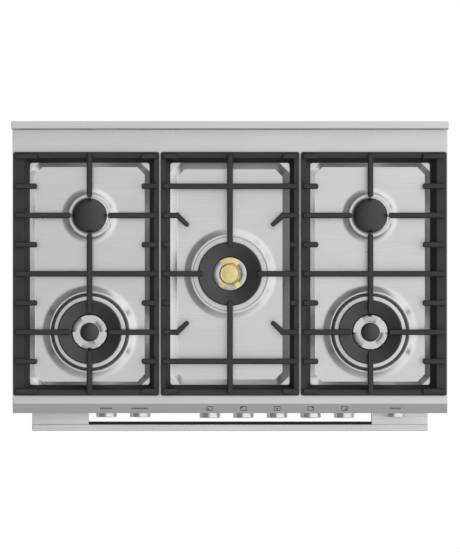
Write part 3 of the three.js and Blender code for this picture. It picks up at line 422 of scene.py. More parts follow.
def galvanised_steel():
    """Back panel and runners: hot-dipped zinc with grey spangles about 12 mm across."""
    material, tree, shader, place = started("spangled_galvanised_steel", Metallic=1.0)
    cells = add(tree, "TexVoronoi", {"Vector": place, "Scale": 1 / (12 * MM)}).outputs["Color"]
    shade = add(tree, "SeparateColor", {"Color": cells}).outputs["Red"]
    connect(shader, {
        "Base Color": add(tree, "ValToRGB", {"Fac": shade}, ends=((0, "#b4b7b9"), (1, "#c2c4c6"))),
        "Roughness": add(tree, "MapRange", {"Value": shade, "To Min": 0.40, "To Max": 0.48}),
    })
    return material


def oven_enamel():
    """Oven walls and tray: dark blue-grey vitreous enamel with pale specks about 1.5 mm across."""
    material, tree, shader, place = started("speckled_oven_enamel", IOR=1.55)
    specks = add(tree, "TexNoise", {"Vector": place, "Scale": 1 / (1.5 * MM), "Detail": 1})
    clouds = add(tree, "TexNoise", {"Vector": place, "Scale": 1 / (30 * MM)})
    connect(shader, {
        "Base Color": add(tree, "ValToRGB", {"Fac": specks}, ends=((0.66, "#23262b"), (0.72, "#8a9097"))),
        "Roughness": add(tree, "MapRange", {"Value": clouds, "From Min": LEAST, "From Max": MOST,
                                            "To Min": 0.16, "To Max": 0.26}),
    })
    return material


def lit_digits():
    """Clock digits: white light-emitting segments, slightly uneven behind the glass."""
    material, tree, shader, place = started("lit_white_segments", Emission_Strength=1.2)
    clouds = add(tree, "TexNoise", {"Vector": place, "Scale": 1 / (3 * MM)})
    glow = add(tree, "ValToRGB", {"Fac": clouds}, ends=((LEAST, "#cfe4f2"), (MOST, "#eef7ff")))
    connect(shader, {"Emission Color": glow, "Base Color": glow})
    return material


HOB_STEEL = brushed_stainless("fine_brushed_stainless_steel", "#e5e5e5", "#ededed", (0.26, 0.32), 1.2,
                              0.002)
STREAKED_STEEL = brushed_stainless("belt_ground_stainless_steel", "#e2e2e2", "#f6f6f6", (0.25, 0.36), 1.5,
                                   0.006)
IRON = cast_iron()
ZINC = galvanised_steel()
OVEN = oven_enamel()
DIGITS = lit_digits()
# Knobs: plated zinc, satin-polished, with the faintest waviness.
CHROME = skin("satin_chrome_plate", (8, "#e6e7e8", "#eeeeee"), (15, 0.20, 0.28), Metallic=1.0)
# Oven racks: drawn wire, plated, a little duller than the knobs.
WIRE = skin("chromed_drawn_wire", None, (6, 0.16, 0.30), Metallic=1.0, Base_Color=linear("#d9dadb"))
# Burner caps and rings: pressed steel with satin black enamel, smooth with a soft shine.
ENAMEL = skin("satin_black_vitreous_enamel", (20, "#1e1e1f", "#252526"), (3, 0.27, 0.34), 0.012, detail=3,
              IOR=1.75)
# Burner bodies: die-cast aluminium, tumbled: pale grey with a soft, slightly grainy sheen.
ALUMINIUM = skin("fine_cast_aluminium", (9, "#dfdfde", "#ebebea"), (1.6, 0.2, 0.3), 0.01, detail=4,
                 roughness=0.6, Metallic=1.0)
# Blocks on the crowns: the same metal, drawn in a darker grey.
GREY_ALUMINIUM = skin("darker_grey_cast_aluminium", (9, "#c2c2c1", "#d2d2d1"), (1.6, 0.2, 0.3), 0.01, detail=4,
                      roughness=0.6, Metallic=1.0)
# Wok burner: turned brass, warm and satin, slightly browned where the tool left off.
BRASS = skin("turned_brass", (7, "#f7e39e", "#fff1b2"), (2.5, 0.26, 0.4), detail=4, Metallic=1.0)
# Side panels and base: powder-coated steel, mid grey with a fine pebbled skin.
PAINT = skin("grey_powder_coated_steel", (90, "#65686b", "#6f7275"), (2, 0.42, 0.56), 0.06, 0.6, IOR=1.5)
# Door and display: tempered glass printed black behind, deep and glossy.
GLASS = skin("black_backed_glass", (120, "#08090a", "#0d0e10"), (60, 0.05, 0.09), IOR=1.52)
# Door window: tinted tempered glass that shows the oven dimly.
WINDOW = skin("grey_tinted_tempered_glass", None, (80, 0.02, 0.05), IOR=1.52,
              Base_Color=linear("#8f979c"), Transmission_Weight=0.85)
# Door seal: moulded rubber, black and quite matt.
RUBBER = skin("moulded_seal_rubber", None, (1.5, 0.7, 0.85), 0.08, IOR=1.5, Base_Color=linear("#1d1e1f"))
# Feet: moulded nylon, black with a fine texture and a slight sheen. The black strip behind the handle's
# bar, painted shade, and the grill element's oxidised sheath are as black and dull, so they have the same
# finish.
NYLON = skin("moulded_black_nylon", None, (1, 0.45, 0.6), 0.08, IOR=1.5, Base_Color=linear("#1d1e1f"))
# Marks on the sloping band: screen-printed black ink, matt and a little uneven.
INK = skin("screen_printed_black_ink", (1.2, "#1a1a1b", "#2b2b2c"), (1.2, 0.5, 0.7), IOR=1.45)


def fit(piece, finish, slot, body, *nodes):
    """Gives a finished piece its material and its body, and hides the CAD nodes it stands for. The slot is
    not used.
    """
    piece.data.materials.clear()
    piece.data.materials.append(finish)
    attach(piece, body)
    if nodes:
        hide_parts(*nodes)
    return piece


# ---- camera, floor and light ----

CAMERA_HEIGHT = 10.6         # above the deck
camera_data = bpy.data.cameras.new("camera")
camera_data.lens = 335.5
camera_data.clip_end = 100
camera = bpy.data.objects.new("camera", camera_data)
camera.location = (0, 0.003, DECK + CAMERA_HEIGHT)
bpy.context.scene.collection.objects.link(camera)
bpy.context.scene.camera = camera
bpy.context.scene.view_settings.view_transform = "Standard"


FLOOR_GLOW = 0.5            # light that the floor throws on the object


def white_to_camera(tree, light):
    """The strength of a light that the camera itself sees as plain white."""
    seen = add(tree, "LightPath").outputs["Is Camera Ray"]
    return add(tree, "Mix", {"Factor": seen, "A": light, "B": 1.0})


def pale_floor():
    """A wide floor that glows evenly, as paper on a light table does, so no shadow falls on it."""
    floor = sheet("floor", (-20, -20), (20, 20), -0.001)
    material = bpy.data.materials.new("glowing_white_floor")
    material.use_nodes = True
    tree = material.node_tree
    tree.nodes.remove(tree.nodes["Principled BSDF"])
    glow = add(tree, "Emission", {"Color": (1, 1, 1, 1), "Strength": white_to_camera(tree, FLOOR_GLOW)})
    connect(tree.nodes["Material Output"], {"Surface": glow})
    floor.data.materials.append(material)


def studio_light():
    """A large soft light on the right, fading to dim on the left and the front."""
    world = bpy.data.worlds.new("studio")
    bpy.context.scene.world = world
    world.use_nodes = True
    tree = world.node_tree
    direction = add(tree, "TexCoord").outputs["Generated"]
    ways = add(tree, "SeparateXYZ", {"Vector": direction}).outputs
    sideways = add(tree, "Math", {0: ways["Y"], 1: 1.17, 2: 1.0}, operation="MULTIPLY_ADD")
    overhead = add(tree, "Math", {0: ways["Z"], 1: 0.63, 2: 0.14}, operation="MULTIPLY_ADD")
    rearward = add(tree, "Math", {0: ways["Y"], 1: 0.15, 2: overhead}, operation="MULTIPLY_ADD")
    rightward = add(tree, "Math", {0: ways["X"], 1: 1.9}, operation="MULTIPLY")
    brightness = add(tree, "Math", {0: rightward, 1: sideways, 2: rearward}, operation="MULTIPLY_ADD")
    floored = add(tree, "Math", {0: brightness, 1: 0.21, 2: 0.35}, operation="SMOOTH_MAX")
    above = add(tree, "Math", {0: floored, 1: 1.0, 2: 0.2}, operation="SMOOTH_MIN")
    horizon = add(tree, "MapRange", {"Value": ways["Z"], "From Min": -0.02, "From Max": 0.0,
                                     "To Min": FLOOR_GLOW, "To Max": 0.0})
    light = add(tree, "Math", {0: above, 1: horizon}, operation="MAXIMUM")
    connect(tree.nodes["Background"], {"Color": (1, 1, 1, 1), "Strength": white_to_camera(tree, light)})


pale_floor()
studio_light()


# ---- hob ----

LEFT_LOW, LEFT_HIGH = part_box("grate_left")
CENTRE_LOW, CENTRE_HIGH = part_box("grate_centre")
END_BAR = (12, 10)           # flat top and slope of a grate's front and rear bars, millimetres
OUTER_BAR = (21, 13)
INNER_BAR = (11, 8.6)
BAR_SLOPE_DROP = 13 * MM
HOB_SHEET = 1.2 * MM         # thickness of the pressed steel, and radius of its folds
WELL_LAP = 1.5 * MM          # deck hidden under the bars beside a well
WELL_FRONT = LEFT_LOW.y + (sum(END_BAR) - 5) * MM
WELL_REAR = LEFT_HIGH.y - (sum(END_BAR) - 3) * MM
OUTER_EDGE = sum(OUTER_BAR) * MM - WELL_LAP
INNER_EDGE = sum(INNER_BAR) * MM - WELL_LAP
WELLS = [                    # left edge, right edge and the run of the walls
    (LEFT_LOW.x + OUTER_EDGE, LEFT_HIGH.x - INNER_EDGE, 12 * MM),
    (CENTRE_LOW.x + INNER_EDGE, CENTRE_HIGH.x - INNER_EDGE, 16.5 * MM),
    (-LEFT_HIGH.x + INNER_EDGE, -LEFT_LOW.x - OUTER_EDGE, 12 * MM),
]
SMALL = {"boss": 58.8, "boss_top": 44, "boss_height": 6, "swell": 2.0, "hole": 30}
LARGE = {"boss": 97.7, "boss_top": 83.3, "boss_height": 5, "swell": 1.4, "seat": 80.5, "hole": 50,
         "flange": 73.5, "flange_height": 4.3}
WOK = {"boss": 95, "boss_top": 81.2, "boss_height": 5, "swell": 1.4, "seat": 76.3, "hole": 50,
       "flange": 76, "flange_height": 2.6}
TROUGH_HEIGHT = 3            # floor inside a large boss, above the well's, millimetres
BURNERS = {
    "rear_left_burner": SMALL, "rear_right_burner": SMALL,
    "front_left_burner": LARGE, "front_right_burner": LARGE, "centre_burner": WOK,
}


# Shares of a well wall's run and of its depth: a straight slope, filleted at its top and foot.
WALL_PROFILE = ((0.035, 0.008), (0.07, 0.035), (0.93, 0.965), (0.965, 0.992), (1, 1))
WELL_CORNER = 15 * MM        # facet across each corner of a well's floor


def well_shell(index, x0, x1, run):
    """Pressed wall of one well, with a facet across each corner; the floor is filled in later."""
    shell = sheet(f"well_{index}", (x0, WELL_FRONT), (x1, WELL_REAR), DECK)
    with editing(shell):
        pick_all()
        bpy.ops.mesh.bevel(offset=WELL_CORNER + run * (2 - math.sqrt(2)), affect="VERTICES", segments=1)
        pick_all()
        reached, fallen = 0, 0
        for across, down in WALL_PROFILE:
            width, depth = run * across, (DECK - WELL_FLOOR) * down
            bpy.ops.mesh.inset(thickness=width - reached, depth=fallen - depth, use_even_offset=True)
            reached, fallen = width, depth
        bpy.ops.mesh.delete(type="ONLY_FACE")
    return shell


def boss_shell(name, spec):
    """Pressed boss round one burner, steepest near its top, open at its foot and at the hole."""
    floor = FLOOR_MM
    top = floor + spec["boss_height"]
    run = spec["boss"] - spec["boss_top"]
    steps = 8
    curve = [(spec["boss"] + 4, floor)]
    for step in range(steps):
        t = step / steps
        curve.append((spec["boss"] - run * t, floor + spec["boss_height"] * t ** spec["swell"]))
    rim = [curve[-1], (spec["boss_top"], top)]
    if "seat" in spec:
        trough = floor + TROUGH_HEIGHT
        rim += [(spec["seat"], top), (spec["seat"] - 2, trough), (spec["hole"], trough)]
    else:
        rim += [(spec["hole"], top), (spec["hole"] - 1, top - 2)]
    place = middle(name + "_base")
    return turned(name + "_boss", curve[:-1] + rounded(rim, 1.5, 3), (place.x, place.y))


def hob_sheet():
    """One pressed and folded steel sheet: deck, wells, bosses, sloping band and folded edges."""
    rear_y = HOB_HIGH.y
    deck_front = LIP_Y + CHAMFER_RUN
    deck = sheet("hob_sheet", (-HALF_WIDTH, deck_front), (HALF_WIDTH, rear_y), DECK)
    with editing(deck):
        pick_all()
        bpy.ops.mesh.delete(type="ONLY_FACE")
    shells = [well_shell(index, *well) for index, well in enumerate(WELLS)]
    bosses = [boss_shell(name, spec) for name, spec in BURNERS.items()]
    hob = joined("hob_sheet", [deck] + shells + bosses)
    with editing(hob):
        for x0, x1, _ in WELLS:
            pick_open_edges(lambda place: abs(place.z - WELL_FLOOR) < HAIR and x0 < place.x < x1)
            bpy.ops.mesh.fill(use_beauty=True)
        pick_open_edges(lambda place: abs(place.z - DECK) < HAIR)
        bpy.ops.mesh.fill(use_beauty=True)
        pick_all()
        merge(HAIR / 10)
        pick_open_edges(lambda place: abs(place.y - deck_front) < HAIR)
        extrude(0, -CHAMFER_RUN, -CHAMFER_DROP)
        extrude(0, 0, HOB_LOW.z - (DECK - CHAMFER_DROP))
        pick_open_edges(lambda place: abs(place.y - rear_y) < HAIR)
        extrude(0, 0, HOB_LOW.z - DECK)
        pick_open_edges(lambda place: abs(abs(place.x) - HALF_WIDTH) < HAIR)
        extrude(0, 0, 0)
        bpy.ops.transform.resize(value=(1, 1, 0), center_override=(0, 0, HOB_LOW.z))
        pick_all()
        merge(HAIR / 10)
        bpy.ops.mesh.dissolve_degenerate(threshold=HAIR / 10)
        pick_all()
        bpy.ops.mesh.normals_make_consistent(inside=False)

        def fold(place, line):
            """The folded edges round the deck and the band, and the upright corners."""
            across = abs(line.x) > 0.9 and place.y < deck_front + HAIR and place.z > HOB_LOW.z + HAIR
            rear = abs(line.x) > 0.9 and place.y > rear_y - HAIR and place.z > DECK - HAIR
            side = abs(place.x) > HALF_WIDTH - HAIR and place.z > HOB_LOW.z + HAIR
            return across or rear or side

        round_edges(fold, HOB_SHEET, 4)
    if max(hob.data.polygons, key=lambda face: face.area).normal.z < 0:
        with editing(hob):
            pick_all()
            bpy.ops.mesh.flip_normals()
    modify(hob, "SOLIDIFY", thickness=HOB_SHEET, offset=-1)
    smooth(hob, 24)
    fit(hob, HOB_STEEL, "brushed_stainless", "root", "hob_top")


hob_sheet()


# Low folded wall along the rear, its edges rolled.
backguard = softened_copy("backguard", "backguard_shell", HOB_SHEET, 3)
fit(backguard, HOB_STEEL, "brushed_stainless", "root", "backguard")


# ---- grates ----

PAN_Z = CENTRE_HIGH.z
FRAME_TOP = DECK + 20 * MM
FRAME_FOOT = DECK + 3 * MM
FINGER_DEPTH = 12 * MM
FINGER_TOP_WIDTH = 9.8 * MM
FINGER_FOOT_WIDTH = 11.8 * MM
FINGER_END = 4.4 * MM        # radius of a finger's rounded end
FINGER_INSET = 4 * MM        # finger roots behind the frame's outer edge
SHORT_REACH = 16 * MM        # short fingers past the frame's inner edge
OUTER_PAD = 51               # lengths of the raised pads on the corners, millimetres
INNER_PAD = 37.5
CENTRE_PAD = 35
KNEE_X = 108.6 * MM          # where a slanting finger turns off
SLANT_TIP = (85.5 * MM, 98.5 * MM)
GRATE_MIDDLE = (LEFT_LOW.y + LEFT_HIGH.y) / 2
ROW_PITCH = (middle("rear_left_burner_base").y - GRATE_MIDDLE) / 2
BURNER_GAP = 38 * MM         # finger tips to the burner's axis
WOK_GAP = 55 * MM


def frame_bar(name, low, high, across, slope_side, widths):
    """Bar of a grate's frame: flat top, then a face sloping towards the burners, then upright.

    across is 0 for a bar that runs fore and aft and 1 for one that runs left to right.
    """
    bar = block(name, (*low, FRAME_FOOT), (*high, FRAME_TOP))
    outer = (low if slope_side > 0 else high)[across]
    crease = outer + slope_side * widths[0] * MM
    inner = outer + slope_side * sum(widths) * MM
    normal = [0, 0, 0]
    normal[across] = 1
    cut_at = [0, 0, 0]
    cut_at[across] = crease
    with editing(bar):
        pick_all()
        bpy.ops.mesh.bisect(plane_co=cut_at, plane_no=normal)
        pick("VERT", lambda place, _: place.z > FRAME_TOP - HAIR and abs(place[across] - inner) < HAIR)
        bpy.ops.transform.translate(value=(0, 0, -BAR_SLOPE_DROP))
    return bar


def finger(name, root, tip, leg=0, far_leg=0, drop=0, tip_share=1.0):
    """Drafted finger with rounded ends, and legs down to the frame at its root and its far end.

    Fingers that cross have their tops a hair apart, which is what drop is for.
    """
    root, tip = Vector(root), Vector(tip)
    length = (tip - root).length
    turn = math.atan2(tip.y - root.y, tip.x - root.x)
    half = FINGER_FOOT_WIDTH / 2
    top = PAN_Z - drop
    arm = block(name, (0, -half, top - FINGER_DEPTH), (length, half, top))
    with editing(arm):
        pick("FACE", lambda place, normal: normal.z > 0.9)
        bpy.ops.transform.resize(value=(1, FINGER_TOP_WIDTH / FINGER_FOOT_WIDTH, 1),
                                 center_override=(0, 0, top))
        pick("VERT", lambda place, _: place.x > length - HAIR)
        bpy.ops.transform.resize(value=(1, tip_share, 1), center_override=(0, 0, top))
        round_uprights(FINGER_END * tip_share, 4)
    ease(arm, 1.5 * MM, 3)
    shapes = [arm]
    for start, reach in ((0, leg), (length - far_leg, far_leg)):
        if reach:
            foot = block(name + "_leg", (start + 0.4 * MM, -half, FRAME_TOP - 3 * MM),
                         (start + reach - 0.4 * MM, half, top - FINGER_DEPTH + 2.5 * MM))
            with editing(foot):
                round_uprights(2.5 * MM, 2)
            shapes.append(foot)
    for shape in shapes:
        shape.rotation_euler.z = turn
        shape.location = (root.x, root.y, 0)
        settle(shape, shape.name)
    return shapes


def corner_pad(name, edge_x, edge_y, side_x, side_y, length):
    """Raised pad on a corner of the frame, with the foot under it."""
    near_x = edge_x + side_x * FINGER_INSET
    near_y = edge_y + side_y * FINGER_INSET
    far_x = edge_x + side_x * length * MM
    far_y = edge_y + side_y * (END_BAR[0] + 3) * MM
    pad = block(name, (min(near_x, far_x), min(near_y, far_y), FRAME_TOP - 3 * MM),
                (max(near_x, far_x), max(near_y, far_y), PAN_Z))
    with editing(pad):
        pick("FACE", lambda place, normal: normal.z > 0.9)
        bpy.ops.transform.resize(value=(0.94, 0.82, 1),
                                 center_override=((near_x + far_x) / 2, (near_y + far_y) / 2, PAN_Z))
        round_uprights(2.5 * MM, 2)
    ease(pad, 1.3 * MM, 2)
    foot_x = (edge_x + side_x * 2 * MM, edge_x + side_x * 10 * MM)
    foot_y = (edge_y + side_y * 4 * MM, edge_y + side_y * 14 * MM)
    foot = block(name + "_foot", (min(foot_x), min(foot_y), DECK + 0.3 * MM),
                 (max(foot_x), max(foot_y), FRAME_FOOT + 2 * MM))
    return [pad, foot]


def finished_grate(name, frame_parts, parts, low, high, openings):
    """Joins a grate's bars, rounds its upright corners and softens every edge."""
    grate = combine(frame_parts[0], frame_parts[1:])
    outer_corners = [(x, y) for x in (low.x, high.x) for y in (low.y, high.y)]

    def upright_at(corners, reach):
        return lambda place, line: abs(line.z) > 0.9 and any(
            abs(place.x - x) < reach and abs(place.y - y) < reach for x, y in corners)

    with editing(grate):
        pick_all()
        bpy.ops.mesh.dissolve_limited(angle_limit=math.radians(0.5))
        round_edges(upright_at(outer_corners, HAIR), 4 * MM, 3)
        round_edges(upright_at(openings, MM), 5 * MM, 3)
    ease(grate, 1.2 * MM, 2, 28)
    named(combine(grate, parts), name)
    with editing(grate):
        pick_all()
        merge(HAIR / 10)
    return smooth(grate, 32)


def four_bars(low, high, left_widths, right_widths):
    """A grate's frame and the corners of its opening."""
    end = sum(END_BAR) * MM
    left = low.x + sum(left_widths) * MM
    right = high.x - sum(right_widths) * MM
    bars = [
        frame_bar("front_bar", (low.x, low.y), (high.x, low.y + end), 1, 1, END_BAR),
        frame_bar("rear_bar", (low.x, high.y - end), (high.x, high.y), 1, -1, END_BAR),
        frame_bar("left_bar", (low.x, low.y), (left, high.y), 0, 1, left_widths),
        frame_bar("right_bar", (right, low.y), (high.x, high.y), 0, -1, right_widths),
    ]
    return bars, [(x, y) for x in (left, right) for y in (low.y + end, high.y - end)]


def leg_on(bar):
    """Length of a finger's leg that stands on a bar of these widths."""
    return sum(bar) * MM - FINGER_INSET


def end_fingers(low, high, x, rear_tip, front_tip):
    """The two fingers that come in from the rear and the front bar."""
    leg = leg_on(END_BAR)
    return (finger("rear_finger", (x, high.y - FINGER_INSET), (x, rear_tip), leg, drop=HAIR)
            + finger("front_finger", (x, low.y + FINGER_INSET), (x, front_tip), leg, drop=HAIR))


def side_grate():
    """Left grate, over a small and a large burner; its wide bar is on the outside."""
    low, high = LEFT_LOW, LEFT_HIGH
    bars, corners = four_bars(low, high, OUTER_BAR, INNER_BAR)
    outer_leg, inner_leg = leg_on(OUTER_BAR), leg_on(INNER_BAR)
    x = middle("rear_left_burner_base").x
    outer_tip = corners[0][0] + SHORT_REACH
    inner_tip = corners[2][0] - SHORT_REACH
    parts = []
    for row in range(-3, 4):
        y = GRATE_MIDDLE + row * ROW_PITCH
        left = (low.x + FINGER_INSET, y)
        right = (high.x - FINGER_INSET, y)
        if row == 0:
            parts += finger("middle_rib", left, right, outer_leg, inner_leg)
            continue
        tips = (x - BURNER_GAP, x + BURNER_GAP) if abs(row) == 2 else (outer_tip, inner_tip)
        parts += finger(f"left_finger_{row}", left, (tips[0], y), outer_leg)
        parts += finger(f"right_finger_{row}", right, (tips[1], y), inner_leg)
    rear_y = GRATE_MIDDLE + 2 * ROW_PITCH
    front_y = GRATE_MIDDLE - 2 * ROW_PITCH
    parts += end_fingers(low, high, x, rear_y + BURNER_GAP, front_y - BURNER_GAP)
    parts += finger("long_rib", (x, front_y + BURNER_GAP), (x, rear_y - BURNER_GAP), drop=HAIR)
    for edge_y, side_y in ((low.y, 1), (high.y, -1)):
        parts += corner_pad("outer_pad", low.x, edge_y, 1, side_y, OUTER_PAD)
        parts += corner_pad("inner_pad", high.x, edge_y, -1, side_y, INNER_PAD)
    return finished_grate("left_pan_grate", bars, parts, low, high, corners)


def centre_grate():
    """Grate over the wok burner, with four slanting fingers."""
    low, high = CENTRE_LOW, CENTRE_HIGH
    bars, corners = four_bars(low, high, INNER_BAR, INNER_BAR)
    leg = leg_on(INNER_BAR)
    round_end = FINGER_FOOT_WIDTH / 2
    parts = []
    for row in (-3, 3):
        y = GRATE_MIDDLE + row * ROW_PITCH
        parts += finger(f"end_rib_{row}", (low.x + FINGER_INSET, y), (high.x - FINGER_INSET, y), leg, leg)
    for side, edge in ((-1, low.x), (1, high.x)):
        root_x = edge - side * FINGER_INSET
        tip_x = {0: WOK_GAP, 1: high.x - sum(INNER_BAR) * MM, 2: KNEE_X - round_end}
        for row in range(-2, 3):
            y = GRATE_MIDDLE + row * ROW_PITCH
            parts += finger(f"finger_{side}_{row}", (root_x, y), (side * tip_x[abs(row)], y), leg)
            if abs(row) == 2:
                up = math.copysign(1, row)
                knee = Vector((side * KNEE_X, y))
                tip = Vector((side * SLANT_TIP[0], GRATE_MIDDLE + up * SLANT_TIP[1]))
                back = (knee - tip).normalized() * round_end
                parts += finger(f"slant_{side}_{row}", knee + back, tip, drop=HAIR, tip_share=0.78)
        for edge_y, side_y in ((low.y, 1), (high.y, -1)):
            parts += corner_pad("pad", edge, edge_y, -side, side_y, CENTRE_PAD)
    parts += end_fingers(low, high, 0, GRATE_MIDDLE + WOK_GAP, GRATE_MIDDLE - WOK_GAP)
    return finished_grate("centre_pan_grate", bars, parts, low, high, corners)


left_grate = side_grate()
right_grate = copied(left_grate, "right_pan_grate", mirror=True)
fit(left_grate, IRON, "enamelled_cast_iron", "grate_left_body", "grate_left")
fit(right_grate, IRON, "enamelled_cast_iron", "grate_right_body", "grate_right")
fit(centre_grate(), IRON, "enamelled_cast_iron", "grate_centre_body", "grate_centre")

# ---- burners ----

BASE_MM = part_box("rear_left_burner_base")[0].z / MM
SEAT = FLOOR_MM + TROUGH_HEIGHT + 0.3      # foot of a large burner's flange, millimetres


def ports(piece, radius, z0, z1, every, depth):
    """Flame ports: every so many upright faces at this radius are sunk."""
    step = FULL_TURN / FINE
    with editing(piece):
        pick("FACE", lambda place, normal: abs(normal.z) < 0.35 and z0 * MM < place.z < z1 * MM
             and abs(math.hypot(place.x, place.y) - radius * MM) < 1.5 * MM
             and round(math.atan2(place.y, place.x) / step - 0.5) % every == 0)
        bpy.ops.mesh.inset(thickness=0.25 * MM, depth=-depth * MM, use_individual=True)


def dome(rim, height, rise, steps):
    """Rounded edge of a cap: a quarter of an ellipse from its rim, without its last point."""
    angles = [math.radians(90 * step / steps) for step in range(steps)]
    return [(rim * math.cos(angle), height + rise * math.sin(angle)) for angle in angles]


def place_at_burners(piece, suffix, names, finish, slot, of_part):
    """Copies a burner part to each burner named and fits it there."""
    for name in names:
        spot = middle(name + "_base")
        node = f"{name}_{of_part}"
        copy = copied(piece, f"{name}_{suffix}", (spot.x, spot.y, 0))
        smooth(copy, 40)
        fit(copy, finish, slot, BODY_OF[node], node)
    bpy.data.objects.remove(piece)


def small_burner_parts():
    seat = FLOOR_MM + SMALL["boss_height"] + 0.3
    top = seat + 11.7
    inner = SMALL["hole"] - 2
    base = turned("small_base", rounded([
        (0, BASE_MM), (26, BASE_MM), (inner, FLOOR_MM - 2), (inner, seat), (38.5, seat), (38.5, seat + 3),
        (35, seat + 5), (33.6, top), (0, top)], 0.8, 2))
    ports(base, 34.2, seat + 5, top, 4, 1.6)
    place_at_burners(base, "body", ("rear_left_burner", "rear_right_burner"), ALUMINIUM,
                     "cast_aluminium", "base")
    foot = top + 0.3
    rim = 35.6
    cap = turned("small_cap", [(0, foot), (rim - 2, foot), (rim - 0.4, foot + 0.8), (rim, foot + 1.6)]
                 + dome(rim, foot + 2.6, 5.4, 10) + [(0, foot + 8)])
    place_at_burners(cap, "lid", ("rear_left_burner", "rear_right_burner"), ENAMEL, "black_enamel", "cap")


def large_base(name, spec, hole_ring, crown_top):
    """Body of a dual-ring or wok burner, up to the crown."""
    flange = spec["flange"]
    flange_top = SEAT + spec["flange_height"]
    inner = spec["hole"] - 4
    return turned(name, rounded([
        (0, BASE_MM), (40, BASE_MM), (inner, FLOOR_MM - 1), (inner, SEAT), (flange - 2, SEAT),
        (flange, SEAT + 2), (flange, flange_top), (64, flange_top), (62.5, SEAT + 14),
        (hole_ring + 2, SEAT + 14), (hole_ring - 2, crown_top), (0, crown_top)], 0.8, 2))


def dished_ring(name, inner, tabs):
    """Enamelled ring that falls towards its hole, with small tabs at the hole's edge."""
    base = SEAT + 14.3
    outer = 66
    profile = rounded([
        (inner + 2.6, base), (outer - 6, base), (outer, base + 2), (outer, base + 12),
        (outer - 1.8, base + 13.5), (inner, base + 8.5), (inner, base + 4), (inner + 2.6, base)], 1.0, 3)
    ring = turned(name, profile[:-1] + [profile[0]])
    shells = [ring]
    for angle in tabs:
        tab = block(f"tab_{angle}", ((inner - 3.2) * MM, -2.6 * MM, (base + 4.5) * MM),
                    ((inner + 3) * MM, 2.6 * MM, (base + 8.2) * MM))
        tab.rotation_euler.z = math.radians(angle)
        settle(tab, tab.name)
        shells.append(soften(tab, 0.6 * MM))
    return joined(name, shells)


def sector(name, inner, outer, z0, z1, middle_angle, width):
    """Raised block between two radii, width degrees wide about its middle angle."""
    steps = max(4, round(width / 5))
    profile = [(inner, z0), (outer, z0), (outer, z1 - 1.6), (outer - 0.8, z1 - 0.9), (outer - 4, z1 - 0.2),
               (inner + 5, z1), (inner + 0.8, z1 - 0.7), (inner, z1 - 1.5), (inner, z0)]
    return turned(name, profile, steps=steps, angle=math.radians(width),
                  start=math.radians(middle_angle + width / 2))


def crown_blocks(burner, name, blocks):
    """Raised blocks of a crown, drawn about the origin and moved to their burner."""
    spot = middle(burner + "_base")
    piece = joined(f"{burner}_{name}", blocks)
    piece.location = (spot.x, spot.y, 0)
    settle(piece, piece.name)
    fit(smooth(piece, 40), GREY_ALUMINIUM, "cast_aluminium", "root")


def dual_ring_burner_parts():
    crown = SEAT + 20
    names = ("front_left_burner", "front_right_burner")
    base = large_base("large_base", LARGE, 37.5, crown)
    ports(base, 63, SEAT + 5, SEAT + 14, 4, 1.6)
    place_at_burners(base, "body", names, ALUMINIUM, "cast_aluminium", "base")
    ring = dished_ring("large_ring", 37.5, (45, 135, 225, 315))
    place_at_burners(ring, "outer_ring", names, ENAMEL, "black_enamel", "ring")
    foot = crown + 0.3
    rim = 19.6
    cap = turned("large_cap", [(0, foot), (rim - 1.5, foot), (rim, foot + 1)]
                 + dome(rim, foot + 2, 4, 8) + [(0, foot + 6)])
    place_at_burners(cap, "lid", names, ENAMEL, "black_enamel", "cap")
    # Black enamel ring in the trough between flange and boss: painted shadow, standing in for the dark gap
    # there.
    low = SEAT - 0.25
    groove = turned("large_groove", [(74.0, low), (77.9, low), (77.9, low + 1.2), (77.4, low + 1.6),
                                     (74.5, low + 1.6), (74.0, low + 1.2), (74.0, low)])
    for name, turn in zip(names, (0, 180)):
        spot = middle(name + "_base")
        painted_shadow_ring = copied(groove, f"{name}_seal", (spot.x, spot.y, 0))
        fit(smooth(painted_shadow_ring, 40), ENAMEL, "black_enamel", "root")
        blocks = [sector(f"bridge_{angle}", 21, 35, crown - 0.5, crown + 3.2, angle + turn, 58)
                  for angle in (30, 150, 270)]
        crown_blocks(name, "bridges", blocks)
    bpy.data.objects.remove(groove)


def wok_burner_parts():
    core = SEAT + 16
    name = ("centre_burner",)
    base = large_base("wok_base", WOK, 35.5, core)
    ports(base, 63, SEAT + 5, SEAT + 14, 4, 1.6)
    place_at_burners(base, "body", name, ALUMINIUM, "cast_aluminium", "base")
    ring = dished_ring("wok_ring", 35.5, ())
    place_at_burners(ring, "outer_ring", name, ENAMEL, "black_enamel", "ring")
    foot = core + 0.3
    crown = turned("wok_crown", rounded([
        (0, foot), (34.9, foot), (34.9, foot + 2.6), (33.8, foot + 3.6), (22.4, foot + 4.4),
        (21.4, foot + 3.2), (0, foot + 3.2)], 0.8, 2))
    place_at_burners(crown, "brass_crown", name, BRASS, "brass", "crown")
    blocks = [sector(f"segment_{angle}", 21.8, 34.7, foot + 2, foot + 5.6, angle, width)
              for angle, width in ((3, 94), (177, 94), (270, 48))]
    crown_blocks("centre_burner", "segments", blocks)
    cap_foot = foot + 3.5
    rim = 20.8
    cap = turned("wok_cap", rounded([
        (0, cap_foot), (rim - 1, cap_foot), (rim, cap_foot + 1), (rim, cap_foot + 3.4),
        (rim - 1.3, cap_foot + 5.6), (rim - 2.2, cap_foot + 5.6), (rim - 3.0, cap_foot + 4.4),
        (8, cap_foot + 4.9), (0, cap_foot + 5)], 0.6, 3))
    place_at_burners(cap, "brass_lid", name, BRASS, "brass", "cap")


small_burner_parts()
dual_ring_burner_parts()
wok_burner_parts()

# ---- controls ----

